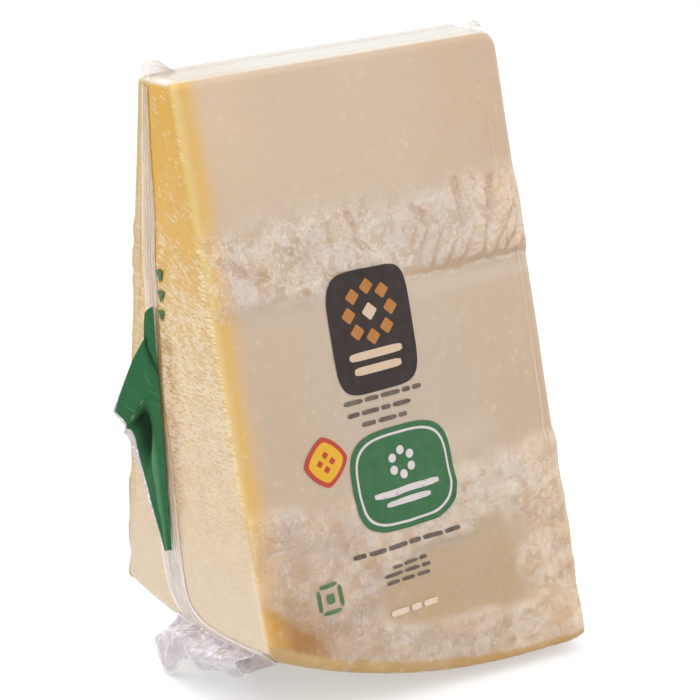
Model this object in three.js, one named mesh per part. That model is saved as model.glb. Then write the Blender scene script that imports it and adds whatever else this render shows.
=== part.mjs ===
// A wedge of hard cheese, vacuum-packed in clear shrink film and standing on its rind.
// The wedge is a sixteenth of a half wheel: it holds part of a flat rind (left), part of the bulged
// side (bottom), two radial cuts (front and back), the cut through the middle of the wheel (right)
// and a cut-off tip (top). The film adds a welded back seam, a tear flap, a crumpled tail under the
// left end, and two small ears at the top corners.
// Millimetres, +Z up, front cut towards -Y. The origin is the centre of the spot it rests on.

import * as THREE from "three";
import { mergeVertices } from "three/addons/utils/BufferGeometryUtils.js";

// ---- Driving dimensions -------------------------------------------------------------------

// The wheel that the wedge was cut from
const RIM_RADIUS = 215; // at the widest part of the bulged side
const HALF_HEIGHT = 106.5; // from the flat rind to the middle of the wheel
const BULGE_RADIUS = 212; // of the bulged side, seen in section
const BULGE_AT = 97; // where the side is widest, from the flat rind
const HALF_ANGLE = THREE.MathUtils.degToRad(11.25); // half of one sixteenth of a turn
const TIP_DEPTH = 36.2; // the tip is cut off this far below the wheel's axis

// How it stands: the wheel's axis dips a little towards the flat rind
const LEAN = THREE.MathUtils.degToRad(3.33);
const FLAT_CUT = 0.35; // depth of the small flat spot pressed into the side

// Edges softened by the tight film
const EDGE_RADIUS = 2;
const CORNER_RADIUS = 5; // between the middle cut and the tip

// Relief of the cut faces. The cheese was split where it is rough and sliced where it is smooth.
const UPPER_BAND = [77, 101]; // radii between which the upper rough band lies
const LOWER_BAND = 152; // radius where the lower rough band starts
const BAND_LIFT = 0.7; // rough cheese stands above the smooth
const CRAG_HEIGHT = 1.2;
const CRAG_LENGTH = 9;
const PATCH = { across: 62, radius: 187, halfWidth: 28, halfHeight: 12 }; // smooth island, front cut
const PATCH_TAPER = 0.45; // share of its height that the island loses towards the flat rind
const BACK_SWELL = 2.6; // the back cut bellies out down to the lower band
const SWELL_END = [125, 175]; // depths between which the belly flattens
const RIND_SWELL = 0.3; // height of the soft swells on the flat rind

// Film pieces
const GAP = 0.3; // between touching pieces
const SEAM_THICKNESS = 0.8;
const FLAP_THICKNESS = 0.7;
const FLAP_TOP = 99; // depth where the tear flap leaves the seam
const FLAP_BOTTOM = 170;
const FLAP_ROOT = 8.9; // behind the middle plane of the wedge
const FLAP_LIFT = 1.9; // clear of the seam under it
const TAIL_THICKNESS = 1.6;
const TAIL_START = -9; // where the tail's upper edge starts, from the middle plane to the front
const TAIL_END = 36.4;
const EAR_THICKNESS = 0.8;
const EARS = {
  film_ear_left: { across: 4.4, back: 6, width: 9.6, height: 3.8, lean: 0.1 },
  film_ear_right: { across: 103.5, back: -1.5, width: 4, height: 2, lean: -0.2 },
};

// ---- Random fields ------------------------------------------------------------------------

const fract = (value) => value - Math.floor(value);
const lattice = (i, j, k) => fract(Math.sin(i * 127.1 + j * 311.7 + k * 74.7) * 43758.5453);
const mix = THREE.MathUtils.lerp;
const smooth = THREE.MathUtils.smoothstep;

/** Smooth random field from 0 to 1 that changes over about one unit. */
function noise(x, y, z) {
  const [i, j, k] = [Math.floor(x), Math.floor(y), Math.floor(z)];
  const [u, v, w] = [x - i, y - j, z - k].map((f) => f * f * (3 - 2 * f));
  const row = (dj, dk) => mix(lattice(i, j + dj, k + dk), lattice(i + 1, j + dj, k + dk), u);
  return mix(mix(row(0, 0), row(1, 0), v), mix(row(0, 1), row(1, 1), v), w);
}

/** Two octaves of noise about a point in millimetres, from -1 to 1. */
function crags(point, length) {
  const { x, y, z } = point;
  const coarse = noise(x / length, y / length, z / length);
  const fine = noise((2.1 * x) / length + 7, (2.1 * y) / length, (2.1 * z) / length);
  return (2 * (coarse + 0.5 * fine)) / 1.5 - 1;
}

// ---- Surfaces on a block of grid lines ------------------------------------------------------

/** Evenly spaced values from start to end, both included. */
function spread(start, end, steps) {
  return Array.from({ length: steps + 1 }, (_, i) => mix(start, end, i / steps));
}

/** Joins runs of values that share their end points. */
function join(...runs) {
  return runs.flatMap((run, i) => (i ? run.slice(1) : run));
}

/**
 * Closed surface: the six sides of the block us x vs x ws, with each grid point moved by place.
 * It faces outward when the three grid directions, in this order, are right-handed.
 */
function blockSurface(us, vs, ws, place) {
  const positions = [];
  const index = [];
  const addSide = (as, bs, pointAt, outward) => {
    const first = positions.length / 3;
    for (const a of as) for (const b of bs) positions.push(...pointAt(a, b));
    for (let i = 0; i + 1 < as.length; i++)
      for (let j = 0; j + 1 < bs.length; j++) {
        const a = first + i * bs.length + j;
        const [b, c, d] = [a + bs.length, a + bs.length + 1, a + 1];
        index.push(...(outward ? [a, b, c, a, c, d] : [a, c, b, a, d, c]));
      }
  };
  const at = (u, v, w) => place(u, v, w).toArray();
  const ends = (values) => [values[0], values[values.length - 1]];
  ends(us).forEach((u, i) => addSide(vs, ws, (v, w) => at(u, v, w), i === 1));
  ends(vs).forEach((v, i) => addSide(us, ws, (u, w) => at(u, v, w), i === 0));
  ends(ws).forEach((w, i) => addSide(us, vs, (u, v) => at(u, v, w), i === 1));
  const geometry = new THREE.BufferGeometry();
  geometry.setAttribute("position", new THREE.Float32BufferAttribute(positions, 3));
  geometry.setIndex(index);
  const closed = mergeVertices(geometry, 1e-3);
  closed.computeVertexNormals();
  return closed;
}

// ---- The wheel's axes: x along its axis from the flat rind, z up to the axis, -y to the front --

/** Radius of the bulged side at a distance from the flat rind. */
function sideRadius(x) {
  return RIM_RADIUS - BULGE_RADIUS + Math.sqrt(BULGE_RADIUS ** 2 - (x - BULGE_AT) ** 2);
}

const up = new THREE.Vector3(Math.sin(LEAN), 0, Math.cos(LEAN)); // true vertical
const lowest = new THREE.Vector3(BULGE_AT, 0, BULGE_RADIUS - RIM_RADIUS);
lowest.addScaledVector(up, -BULGE_RADIUS); // lowest point of the uncut side
const floorLevel = lowest.dot(up) + FLAT_CUT;

const wheel = new THREE.Group();
wheel.rotation.y = -LEAN;
wheel.position.copy(lowest).addScaledVector(up, FLAT_CUT).applyEuler(wheel.rotation).negate();
wheel.updateMatrixWorld(true);

/** Moves a point straight up to the floor if it lies below it. */
function onFloor(point) {
  return point.addScaledVector(up, Math.max(0, floorLevel - point.dot(up)));
}

// ---- The wedge ------------------------------------------------------------------------------

const STRETCH_DEPTH = 148; // grid rows are level above this depth, and fan out to the side below it
const FULL_DEPTH = RIM_RADIUS;
const EDGE_SHARE = 0.2; // share of the grid across the thickness that shapes each edge

/** Point on the sharp-edged wedge: row from the tip, x from the flat rind, side from back to front. */
function sharpWedge(row, x, side) {
  const share = Math.min(1, (1 - Math.abs(side)) / EDGE_SHARE);
  const inner = side / (1 - EDGE_SHARE);
  const fan = Math.max(0, row - STRETCH_DEPTH) / (FULL_DEPTH - STRETCH_DEPTH);
  const half = (depth) => depth * Math.tan(HALF_ANGLE);
  const width = (depth) => {
    if (share < 1) return Math.sign(side) * (half(depth) - share * EDGE_RADIUS);
    return inner * (half(depth) - EDGE_RADIUS);
  };
  const bottom = (offset) => Math.sqrt(sideRadius(x) ** 2 - offset ** 2);
  const level = Math.min(row, STRETCH_DEPTH);
  let depth = mix(level, sideRadius(x), fan);
  // Two passes settle the depth on the round side, whose height depends on the offset.
  for (let pass = 0; pass < 2; pass++) depth = mix(level, bottom(width(depth)), fan);
  return new THREE.Vector3(x, -width(depth), -depth);
}

/** Nearest point to p that lies an edge radius inside the sharp wedge. */
function insetOf(p) {
  const half = -p.z * Math.tan(HALF_ANGLE) - EDGE_RADIUS / Math.cos(HALF_ANGLE);
  const floor = Math.sqrt((sideRadius(p.x) - EDGE_RADIUS) ** 2 - p.y ** 2);
  const inset = new THREE.Vector3(
    THREE.MathUtils.clamp(p.x, EDGE_RADIUS, HALF_HEIGHT - EDGE_RADIUS),
    THREE.MathUtils.clamp(p.y, -half, half),
    THREE.MathUtils.clamp(p.z, -floor, -TIP_DEPTH - EDGE_RADIUS),
  );
  // The corner between the middle cut and the tip has a larger radius than the other edges.
  const right = inset.x - (HALF_HEIGHT - CORNER_RADIUS);
  const above = inset.z + TIP_DEPTH + CORNER_RADIUS;
  const reach = Math.hypot(right, above);
  const spare = CORNER_RADIUS - EDGE_RADIUS;
  if (right > 0 && above > 0 && reach > spare) {
    inset.x -= right * (1 - spare / reach);
    inset.z -= above * (1 - spare / reach);
  }
  return inset;
}

/** Share of the smooth island: a rounded rectangle, |a|^4 + |b|^4 < 1, with a wavering shore. */
function island(x, radius) {
  const across = (x - PATCH.across) / PATCH.halfWidth;
  const taper = 1 - PATCH_TAPER * smooth(-across, 0.2, 1);
  const down = (radius - PATCH.radius) / PATCH.halfHeight / taper;
  const shore = Math.sqrt(Math.hypot(across ** 2, down ** 2));
  return 1 - smooth(shore + 0.35 * (noise(x / 9, 5, radius / 9) - 0.5), 0.8, 1.1);
}

/** How rough the cheese is at a point on a cut face, from 0 (sliced) to 1 (split). */
function roughness(p, front) {
  const radius = Math.hypot(p.y, p.z);
  const wobble = 6 * (noise(p.x / 13, front ? 3 : 9, radius / 13) - 0.5);
  const [top, bottom] = UPPER_BAND;
  const upper = smooth(radius, top + wobble, top + 7 + wobble);
  const upperEnd = smooth(radius, bottom - 5 + wobble / 2, bottom + 1 + wobble / 2);
  const lower = smooth(radius, LOWER_BAND + wobble, LOWER_BAND + 6 + wobble);
  return upper * (1 - upperEnd) + lower * (front ? 1 - island(p.x, radius) : 1);
}

/** Height of the relief over the smooth wedge, where normal points out of it. */
function relief(p, normal) {
  const cut = smooth(Math.abs(normal.y), 0.5, 0.95);
  const middle = smooth(normal.x, 0.5, 0.95);
  const rind = smooth(-normal.x, 0.5, 0.95);
  const front = normal.y < 0;
  const rough = roughness(p, front);
  const cragged = BAND_LIFT + CRAG_HEIGHT * crags(p, CRAG_LENGTH);
  const belly = front ? 0 : BACK_SWELL * (1 - 0.75 * smooth(-p.z, ...SWELL_END));
  const onCut = rough * cragged + belly + 0.25 * crags(p, 30);
  const onMiddle = 0.7 * crags(p, 12) + 0.8 * roughness(p, true) - 0.4;
  const onRind = RIND_SWELL * crags(p, 14);
  return cut * onCut + middle * onMiddle + rind * onRind;
}

/** Point on the wedge as it is, with rounded edges, relief and the flat spot. */
function wedgePoint(row, x, side) {
  const sharp = sharpWedge(row, x, side);
  const inset = insetOf(sharp);
  const normal = sharp.clone().sub(inset).normalize();
  const rounded = inset.clone().addScaledVector(normal, EDGE_RADIUS);
  return onFloor(rounded.addScaledVector(normal, relief(rounded, normal)));
}

function wedge() {
  const across = join(
    spread(0, EDGE_RADIUS, 2),
    spread(EDGE_RADIUS, HALF_HEIGHT - CORNER_RADIUS, 23),
    spread(HALF_HEIGHT - CORNER_RADIUS, HALF_HEIGHT - EDGE_RADIUS, 1),
    spread(HALF_HEIGHT - EDGE_RADIUS, HALF_HEIGHT, 2),
  );
  const cosine = Math.cos(HALF_ANGLE);
  const [bandTop, bandBottom] = UPPER_BAND.map((radius) => radius * cosine);
  const rows = join(
    spread(TIP_DEPTH, TIP_DEPTH + EDGE_RADIUS, 2),
    spread(TIP_DEPTH + EDGE_RADIUS, TIP_DEPTH + CORNER_RADIUS, 1),
    spread(TIP_DEPTH + CORNER_RADIUS, bandTop - 2, 5),
    spread(bandTop - 2, bandBottom + 3, 10),
    spread(bandBottom + 3, STRETCH_DEPTH, 7),
    spread(STRETCH_DEPTH, FULL_DEPTH - EDGE_RADIUS, 19),
    spread(FULL_DEPTH - EDGE_RADIUS, FULL_DEPTH, 2),
  );
  const sides = join(
    spread(-1, EDGE_SHARE - 1, 2),
    spread(EDGE_SHARE - 1, 1 - EDGE_SHARE, 8),
    spread(1 - EDGE_SHARE, 1, 2),
  );
  return blockSurface(rows, across, sides, wedgePoint);
}

// ---- Film pieces on the flat rind -------------------------------------------------------------

/** Outside of the flat rind, with its relief, at a place given from the middle plane and the axis. */
function rindFace(toward, depth) {
  const outward = new THREE.Vector3(-1, 0, 0);
  return -relief(new THREE.Vector3(0, -toward, -depth), outward);
}

/** A spline through values at evenly spaced stops from 0 to 1. */
function track(...points) {
  return new THREE.CatmullRomCurve3(points.map((p) => new THREE.Vector3(...p)));
}

/** The back seam: a folded weld down the flat rind that turns along its lower edge to the front. */
function backSeam() {
  // Each stop is toward the front, depth and width.
  const path = track(
    [-5.6, 38.5, 2.4],
    [-7.8, 56, 4.4],
    [-8.6, 72, 7.4],
    [-10.1, 88, 7.6],
    [-10.4, 104, 7.4],
    [-11.3, 122, 7.2],
    [-11.3, 139, 7.6],
    [-10.9, 155, 9.4],
    [-10.7, 169, 11.2],
    [-9.8, 180, 10.6],
    [-5.4, 186.6, 7],
    [3, 189.2, 3.2],
    [14, 189.4, 2.4],
    [25, 188.5, 1.8],
    [35, 186.8, 1],
  );
  const place = (along, across, out) => {
    const { x: toward, y: depth, z: width } = path.getPoint(along);
    const direction = path.getTangent(along).setZ(0).normalize();
    const offset = across * width;
    const t = toward + direction.y * offset;
    const q = depth - direction.x * offset;
    const ridge = 0.7 + 0.5 * Math.cos(2 * Math.PI * across) ** 2;
    return new THREE.Vector3(rindFace(t, q) - GAP - out * SEAM_THICKNESS * ridge, -t, -q);
  };
  return blockSurface(spread(0, 1, 56), [-0.5, -0.2, 0.2, 0.5], [0, 1], place);
}

/** The tear flap: the free part of the seam's fin, which stands out and folds to the back. */
function tearFlap() {
  // Each stop of the free edge: back from the root, out from the rind, and down.
  const free = track(
    [2.4, 0.8, 2.2],
    [2.6, 1.3, 0.6],
    [3.6, 4, 1],
    [11.8, 7.4, 4.3],
    [10.6, 4.6, 0],
    [10.4, 3.2, 0],
    [8, 2, -1],
    [5.2, 1.2, -1],
    [1.6, 0.6, 0],
  );
  const place = (along, across, out) => {
    const { x: back, y: stand, z: down } = free.getPoint(along).multiplyScalar(across);
    const hollow = 2.4 * Math.exp(-(((along - 0.6) / 0.13) ** 2)) * Math.sin(Math.PI * across);
    const lift = Math.max(0, stand - hollow) + FLAP_LIFT + out * FLAP_THICKNESS;
    const depth = mix(FLAP_TOP, FLAP_BOTTOM, along) + down;
    return new THREE.Vector3(-lift, FLAP_ROOT + back, -depth);
  };
  return blockSurface(spread(0, 1, 32), spread(0, 1, 6), [1, 0], place);
}

// ---- The crumpled tail and the ears -------------------------------------------------------------

/** The tail: the bag's welded end, crushed between the lower left edge of the wedge and the floor. */
function filmTail() {
  // Its lower edge. Each stop is x from the flat rind, toward the front, and height off the floor.
  const hem = track(
    [-4.4, -16, 9.5],
    [-2.8, -14.6, 0],
    [2, -12.6, 3.4],
    [6, -9.5, 1],
    [10, -5, 0.5],
    [12.6, -1.8, 0],
    [15.6, 0, 0],
    [7.8, 17.6, 10.6],
    [-1, 35.6, 22.2],
  );
  const radius = sideRadius(0) + 0.5;
  const place = (along, down, out) => {
    // Its upper edge lies against the rind from just behind the middle plane to the front corner.
    const toward = mix(TAIL_START, TAIL_END, along ** 1.3);
    const upper = new THREE.Vector3(-1.2, -toward, -Math.sqrt(radius ** 2 - toward ** 2));
    const { x, y, z: height } = hem.getPoint(along);
    const lower = new THREE.Vector3(x, -y, (floorLevel + height - x * up.x) / up.z);
    const point = upper.lerp(lower, down);
    const slack = Math.sin(Math.PI * down) * (1 - smooth(along, 0.3, 0.8));
    point.x -= slack * (1.6 + 1.3 * Math.cos(22 * along));
    point.y += slack * 1.4;
    point.x += (out - 0.5) * TAIL_THICKNESS;
    return onFloor(point);
  };
  return blockSurface(spread(0, 1, 40), spread(0, 1, 7), [0, 1], place);
}

/** A small crumpled ear of film that stands on the cut-off tip, highest left of its middle. */
function filmEar({ across, back, width, height, lean }) {
  const place = (along, rise, out) => {
    const crumple = 0.25 * height * Math.sin(5 * along + 1);
    const crown = 0.75 + 0.25 * Math.sin(Math.PI * 1.25 * along);
    const top = height * crown * (1 - 0.8 * smooth(along, 0.45, 1));
    return new THREE.Vector3(
      across + width * (along - 0.5) - lean * rise * height,
      back + rise * crumple + (out - 0.5) * EAR_THICKNESS,
      GAP - TIP_DEPTH + rise * top,
    );
  };
  return blockSurface(spread(0, 1, 8), spread(0, 1, 3), [1, 0], place);
}

// ---- Materials and meshes -----------------------------------------------------------------------

const cheeseInFilm = { color: 0xdcc49a, roughness: 0.45, metalness: 0 };
const seamFilm = { color: 0xe2d3c2, roughness: 0.25, metalness: 0 };
const greenFilm = { color: 0x3f7a58, roughness: 0.25, metalness: 0 };
const tailFilm = { color: 0xd9d3da, roughness: 0.25, metalness: 0 };

/** Makes a named mesh and adds it to the wheel's group, whose axes all the shapes are drawn in. */
function addMesh(name, geometry, look) {
  const mesh = new THREE.Mesh(geometry, new THREE.MeshStandardMaterial(look));
  mesh.name = name;
  wheel.add(mesh);
}

addMesh("cheese_wedge", wedge(), cheeseInFilm);
addMesh("back_seam", backSeam(), seamFilm);
addMesh("tear_flap", tearFlap(), greenFilm);
addMesh("film_tail", filmTail(), tailFilm);
for (const [name, ear] of Object.entries(EARS)) addMesh(name, filmEar(ear), tailFilm);

const pack = new THREE.Group();
pack.add(wheel);

export default pack;
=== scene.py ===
# %% [markdown]
# # A vacuum-packed wedge of hard cheese
#
# The object is one sixteenth of half a cheese wheel, sealed in clear shrink film. It stands on the
# bulged rind of the wheel. The construction model already holds the plain solids, and this lesson
# dresses them: the cheese gets its split and sliced cuts, the film becomes a thin skin that bridges
# the hollows, and the print, seam, tear flap and crumpled tail are added on top.
#
# The first cell loads the construction model. It is the fixed frame that every piece is built on,
# so its box is kept before anything is added.

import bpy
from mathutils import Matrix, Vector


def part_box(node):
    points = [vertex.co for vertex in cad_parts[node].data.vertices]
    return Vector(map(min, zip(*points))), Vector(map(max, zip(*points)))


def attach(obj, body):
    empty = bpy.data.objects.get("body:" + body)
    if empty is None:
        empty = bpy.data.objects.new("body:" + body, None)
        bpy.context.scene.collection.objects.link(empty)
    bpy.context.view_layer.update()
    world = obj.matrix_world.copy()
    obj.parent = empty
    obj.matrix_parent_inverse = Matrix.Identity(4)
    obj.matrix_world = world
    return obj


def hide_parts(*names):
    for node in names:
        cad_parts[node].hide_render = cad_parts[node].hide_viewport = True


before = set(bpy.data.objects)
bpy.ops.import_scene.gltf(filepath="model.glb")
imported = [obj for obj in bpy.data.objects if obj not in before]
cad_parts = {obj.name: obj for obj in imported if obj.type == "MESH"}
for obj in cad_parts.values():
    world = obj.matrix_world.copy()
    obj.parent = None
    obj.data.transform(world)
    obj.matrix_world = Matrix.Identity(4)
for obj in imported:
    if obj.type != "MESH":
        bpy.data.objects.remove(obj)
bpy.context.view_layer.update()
print("nodes:", ", ".join(sorted(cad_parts)))

# %% [markdown]
# ## Sizes
#
# All shapes are worked out in millimetres, on the axes of the cheese wheel: x runs along the wheel's
# axis from its flat rind, y runs to the back, and z is measured from the axis, so that depth = -z.
# The wedge leans a little, which one turn and one shift at the end take care of. The numbers are the
# real sizes of the wheel and of the cut, as the construction model has them, so the fine skin lands
# where the plain solid is. Only the last four belong to the fine skin alone.

# %% Driving sizes, in millimetres
import math

import bpy
import numpy as np
from mathutils import Vector

METRES = 0.001
RIM_RADIUS = 215.0  # of the wheel, at the widest part of its bulged side
HALF_HEIGHT = 106.5  # from the flat rind to the middle of the wheel
BULGE_RADIUS = 212.0  # of the bulged side, in section
BULGE_AT = 97.0  # where the side is widest, from the flat rind
HALF_ANGLE = math.radians(11.25)
TIP_DEPTH = 36.2  # the tip is cut off this far below the axis
LEAN = math.radians(3.33)
FLAT_CUT = 0.35  # depth of the flat spot that it rests on
EDGE_RADIUS = 2.0
CORNER_RADIUS = 5.0  # between the middle cut and the tip
UPPER_BAND = (77.0, 101.0)  # radii of the upper band of split cheese
LOWER_BAND = 152.0  # radius where the lower band starts
BAND_LIFT = 0.7
BAND_CRAGS = (1.2, 9.0)  # height and length of the swells on the split bands
CUT_CRAGS = (0.25, 30.0)  # of those on the whole of each cut
MIDDLE_CRAGS = (0.7, 12.0)  # on the middle cut
RIND_CRAGS = (0.3, 14.0)  # on the flat rind
WAVER, WAVER_LENGTH = 6.0, 13.0  # of the bands' edges
PATCH = dict(across=62.0, radius=187.0, half_width=28.0, half_height=12.0)  # smooth, in the lower band
PATCH_TAPER = 0.45  # share of its height that the patch loses towards the flat rind
BACK_SWELL = 2.6
SWELL_END = (125.0, 175.0)  # depths between which the back cut's belly flattens
STREAK_SLOPE = 0.5  # of the streaks on the flat rind near the tip
PATCH_RISE = 0.55  # share of its height that the patch's right-hand end reaches higher
CRUMBLY_REACH = 4.5  # how far the bands' crumbly colour reaches beyond their relief
FRAY = 2.8  # length of the frays along the bands' edges


def side_radius(x):
    """Radius of the bulged side: an arc of BULGE_RADIUS whose top lies at BULGE_AT."""
    return RIM_RADIUS - BULGE_RADIUS + np.sqrt(BULGE_RADIUS**2 - (x - BULGE_AT) ** 2)


low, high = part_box("cheese_wedge")
print("wedge:", [round(1000 * size, 1) for size in high - low], "mm wide, deep and high")

# %% [markdown]
# ## Random fields
#
# Cheese that is split and not sliced breaks into lumps and flakes. Two kinds of random field make
# them. Noise joins random values at the corners of a lattice with an eased step, which gives soft
# swells. Cells scatter one point in each square of a lattice and measure the way to the nearest one,
# which gives rounded lumps with creases between them. Both are plain array sums, so a whole side of
# the wedge is worked out in one call, and both give the same values on every run.

# %% Eased steps, noise and bells


def mix(a, b, share):
    """a where share is 0, b where it is 1, and evenly between them."""
    return a + (b - a) * share


def smooth(value, start, end):
    """Eased step: 0 up to start, 1 from end on, and 3t^2 - 2t^3 between, where t is the share done."""
    t = np.clip((value - start) / (end - start), 0, 1)
    return t * t * (3 - 2 * t)


def lattice(i, j, k):
    """Random value from 0 to 1 at whole-number places: the fraction of a large multiple of a sine."""
    wave = np.sin(i * 127.1 + j * 311.7 + k * 74.7) * 43758.5453
    return wave - np.floor(wave)


def noise(x, y, z):
    """Soft random field from 0 to 1: the eight lattice values round a point, mixed by eased steps."""
    i, j, k = np.floor(x), np.floor(y), np.floor(z)
    u, v, w = (f * f * (3 - 2 * f) for f in (x - i, y - j, z - k))
    rows = [mix(lattice(i, j + b, k + c), lattice(i + 1, j + b, k + c), u) for c in (0, 1) for b in (0, 1)]
    return mix(mix(rows[0], rows[1], v), mix(rows[2], rows[3], v), w)


def crags(point, height, length):
    """Two octaves of noise, from -height to height: swells of a length, and others that are 2.1 times
    finer and half as strong."""
    x, y, z = (point[..., axis] / length for axis in range(3))
    return height * (2 * (noise(x, y, z) + 0.5 * noise(2.1 * x + 7, 2.1 * y, 2.1 * z)) / 1.5 - 1)


def bell(value, middle, half_width, power=2):
    """1 at the middle and less to both sides: exp(-(distance / half width)^power)."""
    return np.exp(-((np.abs(value - middle) / half_width) ** power))


print("noise at one place:", round(float(noise(1.5, 2.5, 3.5)), 3))

# %% Cells


def cells(x, y, seed):
    """Distances to the nearest and second nearest of points scattered one to a unit square, and the
    random value of the nearest one. The nine squares round each place are searched."""
    column, row = np.floor(x), np.floor(y)
    nearest = np.full(np.broadcast(x, y).shape, 9.0)
    second, value = nearest.copy(), np.zeros_like(nearest)
    for step_x in (-1, 0, 1):
        for step_y in (-1, 0, 1):
            i, j = column + step_x, row + step_y
            away = np.hypot(i + lattice(i, j, seed) - x, j + lattice(i, j, seed + 1) - y)
            closer = away < nearest
            second = np.where(closer, nearest, np.minimum(second, away))
            value = np.where(closer, lattice(i, j, seed + 2), value)
            nearest = np.where(closer, away, nearest)
    return nearest, second, value


print("ways to the two nearest points:", [round(float(way), 3) for way in cells(0.5, 0.5, 3.0)[:2]])

# %% [markdown]
# ## From grids to meshes
#
# Every piece of this object is a block of rubber in the mind: a box whose six sides carry square
# grids, and a rule that moves each grid point to its place. A box is closed, so each piece is closed
# too, and there are no poles where faces pinch. The rule gets whole arrays and gives back x, y and z,
# and it may add further values, such as how rough the cheese is there, which become named attributes
# that a material can read. Points that two sides share are welded by sorting them.

# %% Block surfaces


def spread(start, end, steps):
    """Evenly spaced values from start to end, both included."""
    return np.linspace(start, end, steps + 1)


def join(*runs):
    """One run of values from several that share their end points."""
    return np.concatenate([runs[0]] + [run[1:] for run in runs[1:]])


def grid_quads(shape, outward):
    """Corner numbers of the squares of a grid, anticlockwise as seen from outside."""
    number = np.arange(shape[0] * shape[1]).reshape(shape)
    a, b, c, d = number[:-1, :-1], number[1:, :-1], number[1:, 1:], number[:-1, 1:]
    corners = (a, b, c, d) if outward else (a, d, c, b)
    return np.stack(corners, -1).reshape(-1, 4)


def block(us, vs, ws, place):
    """Closed surface: the six sides of the block us x vs x ws, each grid point moved by place.
    Returns points with any further values that place gives, and the corner numbers of the squares."""
    ends = lambda values: (values[0], values[-1])
    sides = [(u, vs[:, None], ws[None, :], last) for last, u in enumerate(ends(us))]
    sides += [(us[:, None], v, ws[None, :], not last) for last, v in enumerate(ends(vs))]
    sides += [(us[:, None], vs[None, :], w, last) for last, w in enumerate(ends(ws))]
    points, quads, count = [], [], 0
    for u, v, w, outward in sides:
        placed = place(*np.broadcast_arrays(u, v, w))
        quads.append(grid_quads(placed.shape[:2], outward) + count)
        points.append(placed.reshape(-1, placed.shape[-1]))
        count += len(points[-1])
    points = np.concatenate(points)
    key = np.round(points[:, :3] * 1000).astype(np.int64)  # a thousandth of a millimetre
    _, kept, welded = np.unique(key, axis=0, return_index=True, return_inverse=True)
    return points[kept], welded.reshape(-1)[np.concatenate(quads)]


def together(blocks):
    """Points and corner numbers of several closed surfaces as one mesh."""
    starts = np.cumsum([0] + [len(points) for points, quads in blocks[:-1]])
    quads = [quads + start for (points, quads), start in zip(blocks, starts)]
    return np.concatenate([points for points, _ in blocks]), np.concatenate(quads)


cube_points, cube_quads = block(*[spread(0, 1, 2)] * 3, lambda *place: np.stack(place, -1))
print("a cube with two steps a side:", len(cube_points), "points and", len(cube_quads), "squares")

# %% From points to a piece


def new_piece(name, points, quads, marks=(), crease=None):
    """Mesh object from points in millimetres, with an attribute for each named further value. Edges
    that turn by more than the crease angle are shaded sharp."""
    mesh = bpy.data.meshes.new(name)
    mesh.vertices.add(len(points))
    mesh.vertices.foreach_set("co", (points[:, :3] * METRES).astype(np.float32).ravel())
    mesh.loops.add(quads.size)
    mesh.loops.foreach_set("vertex_index", quads.astype(np.int32).ravel())
    mesh.polygons.add(len(quads))
    mesh.polygons.foreach_set("loop_start", np.arange(0, quads.size, 4, dtype=np.int32))
    mesh.polygons.foreach_set("use_smooth", np.ones(len(quads), bool))
    for number, mark in enumerate(marks):
        values = np.ascontiguousarray(points[:, 3 + number], np.float32)
        mesh.attributes.new(mark, "FLOAT", "POINT").data.foreach_set("value", values)
    mesh.update(calc_edges=True)
    mesh.validate()
    if crease:
        mesh.set_sharp_from_angle(angle=crease)
    piece = bpy.data.objects.new(name, mesh)
    bpy.context.scene.collection.objects.link(piece)
    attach(piece, "root")
    print(f"{name}: {2 * len(quads)} triangles")
    return piece


# %% [markdown]
# ## The wedge's form
#
# The wedge is bounded by the flat rind, the bulged side, two radial cuts, the cut through the middle
# of the wheel and the cut-off tip. To round all its edges in one go, each point of the sharp wedge is
# first moved to the nearest point of a wedge that is smaller by the edge radius, and then back out by
# that radius. The way back out is the surface normal, which later carries the relief too. Where the
# surface would dip below the floor it is pressed flat, because the wheel's rind gives a little there.

# %% Sharp wedge
STRETCH_DEPTH = 148.0  # grid rows are level above this depth and fan out to the side below it
EDGE_SHARE = 0.2  # share of the grid across the thickness that shapes each edge


def half_width(depth):
    """Half the thickness between the two radial cuts, which meet on the axis."""
    return depth * math.tan(HALF_ANGLE)


def sharp_wedge(row, x, side):
    """Point on the sharp wedge. row is the depth near the tip and fans out to the bulged side, x is
    the way from the flat rind, and side runs from -1 on the back cut to 1 on the front cut."""
    share = np.minimum(1, (1 - np.abs(side)) / EDGE_SHARE)
    fan = np.maximum(0, row - STRETCH_DEPTH) / (RIM_RADIUS - STRETCH_DEPTH)
    level = np.minimum(row, STRETCH_DEPTH)
    depth = mix(level, side_radius(x), fan)

    def offset_at(depth):
        near_edge = np.sign(side) * (half_width(depth) - share * EDGE_RADIUS)
        inside = side / (1 - EDGE_SHARE) * (half_width(depth) - EDGE_RADIUS)
        return np.where(share < 1, near_edge, inside)

    for _ in range(2):  # the round side's depth depends on the offset and settles in two passes
        depth = mix(level, np.sqrt(side_radius(x) ** 2 - offset_at(depth) ** 2), fan)
    return np.stack(np.broadcast_arrays(x, -offset_at(depth), -depth), -1)


print("front corner of the sharp tip:", sharp_wedge(TIP_DEPTH, 0.0, 1.0).round(2))

# %% Rounded wedge, floor and frame
TRUE_UP = np.array([math.sin(LEAN), 0, math.cos(LEAN)])
LOWEST = np.array([BULGE_AT, 0, BULGE_RADIUS - RIM_RADIUS]) - BULGE_RADIUS * TRUE_UP
FLOOR_LEVEL = LOWEST @ TRUE_UP + FLAT_CUT
TURN = np.array([[math.cos(LEAN), 0, -math.sin(LEAN)], [0, 1, 0], [math.sin(LEAN), 0, math.cos(LEAN)]])
SHIFT = -TURN @ (LOWEST + FLAT_CUT * TRUE_UP)


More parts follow.
